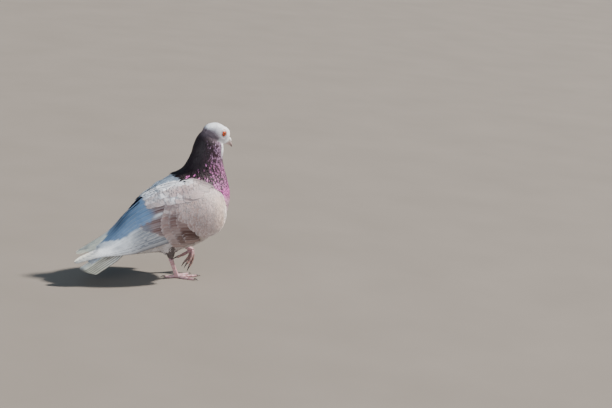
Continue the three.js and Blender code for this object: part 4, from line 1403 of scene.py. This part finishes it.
def mandible(direction, shape):
    """The upper (1) or lower (-1) half of the bill."""
    rings = []
    half_turn = np.linspace(0, math.pi, 28)
    inside = np.linspace(math.pi, 0, 10)[1:-1]
    for t in np.linspace(0, 1, 60):
        forward = BILL["start"] + t * (BILL["length"] - shape["short"])
        seam = bill_seam(t) + direction * 0.12
        tall = through(shape["depths"], 4 * t)
        wide = through(shape["widths"], 4 * t)
        hook = -1.3 * rise(t, 0.82, 1) * (direction > 0)
        end = math.sqrt(max(0.02, 1 - max(0, (t - 0.965) / 0.035) ** 2))
        c, s = power_circle(half_turn, 2.15)
        outer = head_point(forward, wide * c * end, seam + direction * tall * s * end + hook * (1 - s))
        c = np.cos(inside)
        palate = head_point(forward, wide * c * end, seam + direction * 0.5 * (1 - c ** 2) * end + hook)
        rings.append(np.concatenate([outer, palate]))
    return rings


def bill_pieces(finish):
    """Both halves of the bill, the upper one with a nostril slit on each side."""
    pieces = []
    for name, direction, shape in (("bill_upper_horn", 1, UPPER_BILL), ("bill_lower_horn", -1, LOWER_BILL)):
        points, quads, corners = loft(mandible(direction, shape))
        forward, left, height = head_place(points)
        t = (forward - BILL["start"]) / BILL["length"]
        seam = bill_seam(t)
        slit = np.exp(-((forward - BILL["start"] - 6.6) / 1.9) ** 2 - ((height - seam - 1.05) / 0.42) ** 2)
        slit = slit * (direction > 0)
        points = points - unit(points - head_point(forward, 0 * left, height)) * (0.75 * slit)[:, None] * MM
        piece = piece_from(name, points, quads, corners)
        store(piece.data, "slit", slit)
        store(piece.data, "along", t)
        store(piece.data, "near_edge", np.exp(-np.abs(height - seam) / 0.55))
        pieces.append(finished(piece, finish))
    return pieces


def cere_piece(finish):
    """The two chalky lobes over the nostrils."""
    around = turn_of(40)
    lobes = []
    for side in SIDES.values():
        rings = []
        for polar in np.radians(np.arange(6, 178, 6)):
            x, r = math.cos(polar) * 4.4, math.sin(polar) * (1 - 0.2 * math.cos(polar))
            y, z = r * np.cos(around) * 2.2, r * np.sin(around) * 2.45
            tilt, apart = 0.36, 2.0 - 0.45 * math.cos(polar)
            rings.append(head_point(
                BILL["start"] + 3.3 + x * math.cos(tilt) + z * math.sin(tilt), side * apart + y,
                BILL["level"] + 3.75 + z * math.cos(tilt) - x * math.sin(tilt)))
        lobes.append(loft(rings))
    piece = remeshed(piece_from("cere_lobes", *stacked(lobes)), CERE_VOXEL, 3)
    points, normals = surface_of(piece)
    grain = ripple(points, 0.35 * MM) + 0.6 * ripple(points, 0.8 * MM, 2.0)
    move_points(piece, points + normals * (grain * 0.045 * MM)[:, None])
    return finished(piece, finish)


# ------------------------------------------------------------------ legs
def toe_radius(pads):
    """A toe that narrows to its claw, swollen at each of its pads."""
    return lambda t: 1.1 * TOE_RADIUS * mix(1, 0.72, t) * (1 + 0.09 * np.cos(2 * math.pi * pads * t))


def tarsus_radius(t):
    return 1.14 * TARSUS_RADIUS * (1 + 0.28 * (2 * t - 1) ** 4)


def limb_body(points, radius, steps, sides, flatten=1.0):
    """A closed limb with rounded ends."""
    t = np.concatenate([[0.0], np.linspace(0.004, 0.996, steps), [1.0]])
    around = turn_of(sides)
    middle, across, up = limb_frame(points, t)
    r = radius(t)
    r[0], r[-1] = r[0] * 0.6, r[-1] * 0.6
    circle = (across[:, None] * np.cos(around)[None, :, None]
              + up[:, None] * (np.sin(around) * flatten)[None, :, None]) * r[:, None, None]
    return loft(middle[:, None] + circle)


def tarsus_line(leg):
    """Three points along the bare part of a leg."""
    ankle, knuckle = np.array(leg["ankle"], float), np.array(leg["knuckle"], float)
    return [tuple(mix(ankle, knuckle, -0.06)), tuple(mix(ankle, knuckle, 0.5)), tuple(knuckle)]


def ball(centre, radii):
    """A closed ellipsoid."""
    around = turn_of(32)
    rings = []
    for polar in np.radians(np.arange(6, 178, 7)):
        ring = np.stack([np.sin(polar) * np.cos(around), np.sin(polar) * np.sin(around),
                         np.full(len(around), math.cos(polar))], 1)
        rings.append(centre + ring * radii)
    return loft(rings)


def leg_surface(name, leg):
    """Tarsus, toes and pad of one foot, with their scutes and pads."""
    toes, lifted = leg["toes"], leg["floor"] is None
    bodies = [limb_body(tarsus_line(leg), tarsus_radius, 40, 28), ball(np.array(leg["pad"]) * MM, FOOT_PAD)]
    for toe, points in toes.items():
        bodies.append(limb_body(points, toe_radius(TOE_PADS[toe]), 50, 24, 0.95))
    piece = remeshed(piece_from(name, *stacked(bodies)), LEG_VOXEL, 3)
    points, normals = surface_of(piece)

    limbs = [(tarsus_line(leg), 17, 1.0)] + [(p, TOE_PADS[toe] * 4 + 3, 0.8) for toe, p in toes.items()]
    t = np.linspace(0, 1, 120)
    middles = [limb_frame(p, t) for p, _, _ in limbs]
    near = Nearest(np.concatenate([m[0] for m in middles])).find(points)
    which, place = near // len(t), t[near % len(t)]
    height, scute = np.zeros(len(points)), np.zeros(len(points))
    for index, (_, rows, strength) in enumerate(limbs):
        own = which == index
        middle, _, up = (m[near[own] % len(t)] for m in middles[index])
        offset = points[own] - middle
        if index == 0:
            front = unit(offset) @ np.array([0.75, 0, 0.66]) if lifted else unit(offset)[:, 0]
        else:
            front = (unit(offset) * up).sum(1)
        plate = rise(front, -0.1, 0.35)
        ridge = 1 - np.abs(2 * ((place[own] * rows) % 1) - 1) ** 3
        skin_grain = ripple(points[own], 0.33 * MM, index)
        height[own] = strength * (plate * (0.22 * ridge - 0.12) + (1 - plate) * 0.09 * skin_grain)
        scute[own] = plate * (1 - ridge)
    points += normals * (height * MM)[:, None]
    # low: painted shade over the lifted foot's toes; on the standing foot a darker band near the floor
    if lifted:
        low = 1 - rise(points[:, 2], 24 * MM, 36 * MM)
    else:
        points[:, 2] = np.maximum(points[:, 2], leg["floor"])
        low = 0.35 * (1 - rise(points[:, 2], 0, 5 * MM))
    move_points(piece, points)
    store(piece.data, "scute", scute)
    store(piece.data, "low", low)
    return piece


def claw_body(points, floor):
    """A claw that carries on from a toe's last two points, and curves down."""
    a, b = (np.array(p, float) for p in points[1:])
    along = unit(b - a)
    length = CLAW["length"] / MM
    start = b + along * 0.1
    bend = start + along * length * 0.5 + np.array([0, 0, 0.3 if floor is None else 0.9])
    end = start + along * length * 0.9
    end += (np.array([-0.35, 0, -0.9]) if floor is None else np.array([0, 0, -0.35])) * length * 0.3
    if floor is not None:
        end[2] = CLAW["tip"] / MM + 0.1
    line = [tuple(start - along * 0.8), tuple(bend), tuple(end)]
    return limb_body(line, lambda t: mix(CLAW["radius"], CLAW["tip"], t ** 1.25), CLAW_STEPS, CLAW_SIDES)


def claws_piece(name, leg, finish):
    """The four claws of one foot."""
    bodies = [claw_body(points, leg["floor"]) for points in leg["toes"].values()]
    points, quads, corners = stacked(bodies)
    if leg["floor"] is not None:
        points[:, 2] = np.maximum(points[:, 2], 0.02 * MM)
    piece = piece_from(name, points, quads, corners)
    along = np.append(np.repeat(np.linspace(0, 1, CLAW_STEPS + 2), CLAW_SIDES), [0, 1])
    store(piece.data, "along", np.tile(along, len(bodies)))
    return finished(piece, finish)


# ------------------------------------------------------------------ finishes
class Finish(Tree):
    """A material under construction."""
    def __init__(self, name, **settings):
        self.material = bpy.data.materials.new(name)
        self.material.use_nodes = True
        super().__init__(self.material.node_tree)
        self.shader = self.tree.nodes["Principled BSDF"]
        for key, value in settings.items():
            self.shader.inputs[key.replace("_", " ")].default_value = value

    def colours(self, share, *stops):
        """A ramp of (place, colour) stops."""
        made = self.node("ShaderNodeValToRGB", share)
        ramp = made.color_ramp.elements
        while len(ramp) < len(stops):
            ramp.new(0.5)
        for element, (place, colour) in zip(ramp, stops):
            element.position = place
            element.color = (*colour, 1)
        return made.outputs[0]

    def over(self, share, below, above):
        """One colour laid over another."""
        made = self.node("ShaderNodeMix", data_type="RGBA")
        for key, value in ((0, share), (6, below), (7, above)):
            self.feed(made.inputs[key], value)
        return made.outputs[2]

    def range(self, value, low, high, first=0.0, last=1.0):
        """Goes smoothly from first, where the value is low, to last."""
        made = self.node("ShaderNodeMapRange", value, low, high, first, last, interpolation_type="SMOOTHSTEP")
        return made.outputs[0]

    def wavering(self, value, noise, amount):
        """A value with noise of 0 to 1 added, to both sides."""
        return self.plus(value, self.times(self.minus(noise, 0.5), amount))

    def grain(self, scale, detail=3.0, where=None, distortion=0.0):
        made = self.node("ShaderNodeTexNoise", where or self.node("ShaderNodeTexCoord").outputs["Object"])
        for key, value in (("Scale", scale), ("Detail", detail), ("Distortion", distortion)):
            made.inputs[key].default_value = value
        return made.outputs["Fac"]

    def stored(self, name, output="Color"):
        return self.node("ShaderNodeAttribute", attribute_name=name).outputs[output]

    def bumped(self, height, strength, distance):
        made = self.node("ShaderNodeBump")
        for key, value in (("Strength", strength), ("Distance", distance), ("Height", height)):
            self.feed(made.inputs[key], value)
        return made.outputs[0]

    def done(self, colour, normal=None):
        self.feed(self.shader.inputs["Base Color"], colour)
        self.feed(self.shader.inputs["Normal"], normal)
        return self.material


def feather_finish(name, barbs, root_shade=0.7, rim_width=0.3, shaft_share=0.25, bump=0.35, **settings):
    """Barbs, shaft and rim of feathers, coloured by their own markings, with painted shade towards each
    feather's root.
    """
    f = Finish(name, **settings)
    uv = f.node("ShaderNodeUVMap", uv_map="vane").outputs[0]
    x, y = f.node("ShaderNodeSeparateXYZ", uv).outputs[:2]
    off_shaft = f.number("ABSOLUTE", f.minus(f.times(x, 2.0), 1.0))
    chance = f.stored("chance", "Fac")
    slanted = f.minus(f.times(y, barbs), f.times(off_shaft, barbs * 0.45))
    wander = f.plus(f.times(f.grain(900.0, 2.0), 5.0), f.times(chance, 40.0))
    lines = f.number("SINE", f.plus(slanted, wander))
    tip = f.range(y, 1 - rim_width * 0.6, 1.0)
    side = f.range(off_shaft, 1 - rim_width, 1.0)
    rim = f.number("MAXIMUM", tip, side)
    shaft = f.range(off_shaft, 0.09, 0.03)
    colour = f.over(rim, f.stored("plume"), f.stored("rim"))
    blotch = f.range(f.grain(160.0, 3.0), 0.3, 0.7, 0.9, 1.08)
    barb_shade = f.range(lines, -1.0, 1.0, 0.93, 1.03)
    # painted shade on each feather's root part, which lies under the others
    depth_shade = f.range(y, 0.0, 0.5, root_shade, 1.0)
    shade = f.times(f.times(blotch, barb_shade), depth_shade)
    shaded_colour = f.vector("SCALE", colour, shade)
    colour = f.over(f.times(shaft, shaft_share), shaded_colour, (0.55, 0.48, 0.42, 1))
    height = f.plus(f.times(lines, 0.35), shaft)
    return f.done(colour, f.bumped(height, bump, 0.00012))


def skin_finish():
    """Bare skin with down, under the coat, in the coat's own markings."""
    f = Finish("down over skin", Roughness=0.85)
    fluff = f.grain(700.0, 4.0)
    colour = f.vector("SCALE", f.stored("plume"), f.range(fluff, 0.3, 0.7, 0.42, 0.72))
    return f.done(colour, f.bumped(fluff, 0.5, 0.0004))


def leg_finish():
    """Pink scaly skin, darker between the scales, with painted shade over the lifted foot's toes and a darker
    band near the floor on the standing foot.
    """
    f = Finish("scaly leg skin", Roughness=0.48, Subsurface_Weight=0.12, Subsurface_Scale=0.0012)
    f.shader.inputs["Subsurface Radius"].default_value = (1.0, 0.35, 0.25)
    blotch = f.grain(260.0, 4.0)
    pink = f.colours(blotch, (0.25, tone(158, 112, 118)), (0.5, tone(178, 138, 142)),
                     (0.75, tone(200, 172, 174)))
    # painted shade on the lifted foot's toes, darker near the floor on the standing foot
    darker_low = f.over(f.times(f.stored("low", "Fac"), 0.8), pink, (*tone(112, 86, 74), 1))
    colour = f.over(f.times(f.stored("scute", "Fac"), 0.75), darker_low, (*tone(120, 76, 80), 1))
    return f.done(colour, f.bumped(f.grain(1500.0, 3.0), 0.35, 0.0002))


def lid_finish():
    f = Finish("bare skin round the eye", Roughness=0.5, Subsurface_Weight=0.1, Subsurface_Scale=0.0008)
    colour = f.colours(f.grain(900.0, 3.0), (0.3, tone(150, 126, 122)), (0.55, tone(176, 154, 148)),
                       (0.75, tone(198, 180, 174)))
    return f.done(colour, f.bumped(f.grain(2200.0, 2.0), 0.4, 0.0001))


def eye_finish():
    """A black pupil in an orange and red iris, streaked outwards, under a clear coat."""
    f = Finish("pigeon eye", Roughness=0.12, Coat_Weight=1.0, Coat_Roughness=0.03)
    ring = f.stored("ring", "Fac")
    spokes = f.grain(3.2, 4.0, f.stored("spoke", "Vector"), 0.4)
    colour = f.colours(
        f.wavering(ring, spokes, 0.09),
        (0.0, tone(8, 6, 6)), (0.225, tone(10, 6, 6)), (0.245, tone(206, 112, 34)),
        (0.29, tone(216, 88, 20)), (0.37, tone(196, 56, 16)), (0.47, tone(156, 32, 12)),
        (0.55, tone(100, 20, 12)), (0.62, tone(34, 14, 12)), (0.7, tone(60, 40, 38)))
    streaks = f.range(spokes, 0.25, 0.75, 0.72, 1.18)
    return f.done(f.vector("SCALE", colour, streaks))


def bill_finish():
    """Horn that darkens to its tip and along the line between its halves."""
    f = Finish("bill horn", Roughness=0.36, Coat_Weight=0.15)
    along = f.stored("along", "Fac")
    streak = f.grain(420.0, 4.0)
    base = f.colours(f.wavering(along, streak, 0.35),
                     (0.0, tone(206, 182, 176)), (0.4, tone(190, 166, 160)), (0.75, tone(150, 128, 124)),
                     (1.0, tone(104, 88, 88)))
    edge = f.over(f.times(f.stored("near_edge", "Fac"), 0.55), base, (*tone(88, 66, 66), 1))
    colour = f.over(f.range(f.stored("slit", "Fac"), 0.35, 0.75), edge, (*tone(38, 26, 26), 1))
    return f.done(colour, f.bumped(streak, 0.25, 0.0002))


def cere_finish():
    f = Finish("chalky cere", Roughness=0.78)
    chalk = f.grain(1100.0, 4.0)
    colour = f.colours(chalk, (0.3, tone(206, 196, 190)), (0.55, tone(232, 228, 224)),
                       (0.75, tone(242, 240, 238)))
    return f.done(colour, f.bumped(chalk, 0.5, 0.00015))


def claw_finish():
    f = Finish("claw horn", Roughness=0.34, Coat_Weight=0.2)
    along = f.stored("along", "Fac")
    streak = f.grain(900.0, 3.0)
    colour = f.colours(f.wavering(along, streak, 0.3),
                       (0.0, tone(112, 88, 82)), (0.35, tone(66, 52, 50)), (1.0, tone(34, 28, 28)))
    return f.done(colour, f.bumped(streak, 0.3, 0.0001))


def floor_finish():
    f = Finish("pale studio floor", Roughness=0.8)
    colour = f.colours(f.grain(6.0, 3.0), (0.3, tone(119, 110, 101)), (0.7, tone(124, 115, 106)))
    return f.done(colour)


# ------------------------------------------------------------------ floor, lights and camera
def sun(name, energy, angle, colour, direction):
    """A far lamp of so many degrees across, shining in a direction."""
    light = bpy.data.lights.new(name, "SUN")
    light.energy, light.angle, light.color = energy, math.radians(angle), colour
    lamp = link(bpy.data.objects.new(name, light))
    lamp.rotation_euler = Vector(direction).to_track_quat("-Z", "Y").to_euler()


def studio():
    """A wide floor, a warm sun, a softer bluish one from the other side, and a blue sky."""
    half = FLOOR_HALF
    mesh = bpy.data.meshes.new("floor")
    corners = [(-half, -half, 0), (half, -half, 0), (half, half, 0), (-half, half, 0)]
    mesh.from_pydata(corners, [], [(0, 1, 2, 3)])
    mesh.materials.append(floor_finish())
    floor = link(bpy.data.objects.new("studio_floor", mesh))

    sun("key", 9.8, 3.5, (1.0, 0.965, 0.91), (-0.726, 0.128, -0.676))
    sun("fill", 3.2, 50, (0.86, 0.93, 1.0), (0.68, 0.72, -0.15))
    world = bpy.data.worlds.new("studio")
    world.use_nodes = True
    sky = world.node_tree.nodes["Background"].inputs
    sky["Color"].default_value, sky["Strength"].default_value = (0.5, 0.74, 1.0, 1), 0.28
    bpy.context.scene.world = world


def camera():
    """The camera, turned by its heading, tilt and roll."""
    heading, tilt, roll = (math.radians(CAMERA[key]) for key in ("heading", "tilt", "roll"))
    level = np.array([math.cos(heading), math.sin(heading), 0])
    side = np.array([math.sin(heading), -math.cos(heading), 0])
    look = level * math.cos(tilt) - np.array([0, 0, math.sin(tilt)])
    up = np.cross(side, look)
    right = side * math.cos(roll) + up * math.sin(roll)
    top = up * math.cos(roll) - side * math.sin(roll)
    lens = bpy.data.cameras.new("camera")
    lens.lens, lens.sensor_width = CAMERA["lens"], CAMERA["sensor"]
    lens.clip_start, lens.clip_end = CAMERA["near"], CAMERA["far"]
    made = link(bpy.data.objects.new("camera", lens))
    axes = np.stack([right, top, -look, CAMERA["place"]], 1)
    made.matrix_world = Matrix(np.vstack([axes, [0, 0, 0, 1]]).tolist())
    bpy.context.scene.camera = made


# ------------------------------------------------------------------ making the bird
def dressed_skin(piece, leg_skin, lid_skin):
    """The skin in its markings, with the bare skin of legs and eyelids joined to it."""
    paint(piece.data, "plume", markings(surface_of(piece)[0]))
    finished(piece, skin_finish())
    legs = [finished(leg_surface(f"{side}_leg", leg), leg_skin) for side, leg in LEGS.items()]
    lids = [finished(piece_from(f"{side}_lid", *lid(number)), lid_skin) for side, number in SIDES.items()]
    return join("skin", [piece] + legs + lids)


leg_skin, lid_skin = leg_finish(), lid_finish()
horn, claw_horn, eye_glass, chalk_skin = bill_finish(), claw_finish(), eye_finish(), cere_finish()
small_plumes = feather_finish("small feathers", 60.0, 0.9, 0.3, 0.05, 0.15, Roughness=0.8)
neck_plumes = feather_finish("glossy neck feathers", 50.0, 0.6, 0.3, 0.03, 0.25, Roughness=0.5,
                             Specular_IOR_Level=0.3)
body_plumes = feather_finish("body feathers", 110.0, 0.7, Roughness=0.68)
wing_plumes = feather_finish("wing feathers", 150.0, 0.85, Roughness=0.6)
quill_plumes = feather_finish("long feathers", 520.0, 0.85, 0.14, Roughness=0.52)
tail_plumes = feather_finish("tail feathers", 520.0, 0.9, 0.14, 0.2, 0.25, Roughness=0.6, Sheen_Weight=0.7)

studio()
camera()
skin_piece = body_skin()
skin = Skin(skin_piece)
skin_piece = dressed_skin(skin_piece, leg_skin, lid_skin)

tree = feather_tree()
shapes = {name: vane(f"vane_{name}", **shape) for name, shape in VANES.items()}
neck_all = neck_tract(skin)
neck_height = neck_all["root"][:, 2]
upper_neck, lower_neck = neck_height > NECK_CUTS[0], neck_height <= NECK_CUTS[1]
head_all = head_tract(skin)
face = head_place(head_all["root"])[0] > -2
wing_small = {side: together(covert_tract(number, SEEDS["coverts"] + number),
                             greater_covert_tract(number, SEEDS["greater_coverts"] + number),
                             scapular_tract(number, SEEDS["scapulars"] + number))
              for side, number in SIDES.items()}
coats = [
    ("face_coat", kept(head_all, face), "round", small_plumes, ("head",), "head_feathers"),
    ("crown_coat", kept(head_all, ~face), "round", small_plumes, ("head",), "head_feathers"),
    ("neck_coat_upper", kept(neck_all, upper_neck), "hackle", neck_plumes, ("neck",), "neck_feathers"),
    ("neck_coat_middle", kept(neck_all, ~(upper_neck | lower_neck)), "hackle", neck_plumes, ("neck",),
     "neck_feathers"),
    ("neck_coat_lower", kept(neck_all, lower_neck), "hackle", neck_plumes, ("neck",), "neck_feathers"),
    ("body_coat", body_tract(skin), "round", body_plumes, ("trunk",), "body_feathers"),
]
for side, number in SIDES.items():
    thigh = thigh_tract(skin, LEGS[side], SEEDS["thighs"] + number)
    coats.append((f"{side}_wing_coverts", wing_small[side], "covert", wing_plumes, (f"wing_{side}_coverts",),
                  "covert_feathers"))
    coats.append((f"{side}_thigh_coat", thigh, "round", body_plumes, (f"leg_{side}_thigh",),
                  "thigh_feathers"))
pieces = []
for name, tract, shape, finish, nodes, slot in coats:
    pieces.append((feathered(name, tract, shapes[shape], finish, tree), nodes, slot))
for shape in shapes.values():
    bpy.data.objects.remove(shape)

for side, number in SIDES.items():
    pieces.append((secondaries(number, quill_plumes), (f"wing_{side}_secondaries",), "secondary_feathers"))
    pieces.append((primaries(number, quill_plumes), (f"wing_{side}_primaries",), "primary_feathers"))
    pieces.append((eyeball(number, eye_glass), (f"eye_{side}",), "eye"))
    toes = LEGS[side]["toes"]
    pieces.append((claws_piece(f"{side}_claws", LEGS[side], claw_horn),
                   tuple(f"leg_{side}_claw_{toe}" for toe in toes), "claw"))
pieces.append((tail_feathers(tail_plumes), ("tail",), "tail_feathers"))
for piece, node in zip(bill_pieces(horn), ("bill_upper", "bill_lower")):
    pieces.append((piece, (node,), "bill"))
pieces.append((cere_piece(chalk_skin), ("cere",), "cere"))
flesh_nodes = ["head", "neck", "trunk"] + [
    f"leg_{side}_{part}" for side in SIDES for part in ["thigh", "tarsus"] + [f"toe_{t}" for t in TOE_PADS]
] + [f"wing_{side}_coverts" for side in SIDES]
pieces.append((skin_piece, tuple(flesh_nodes), "leg_skin"))

for piece, nodes, slot in pieces:
    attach(piece, "root")
    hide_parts(*nodes)
    print(piece.name, sum(len(f.vertices) - 2 for f in piece.data.polygons), "triangles")
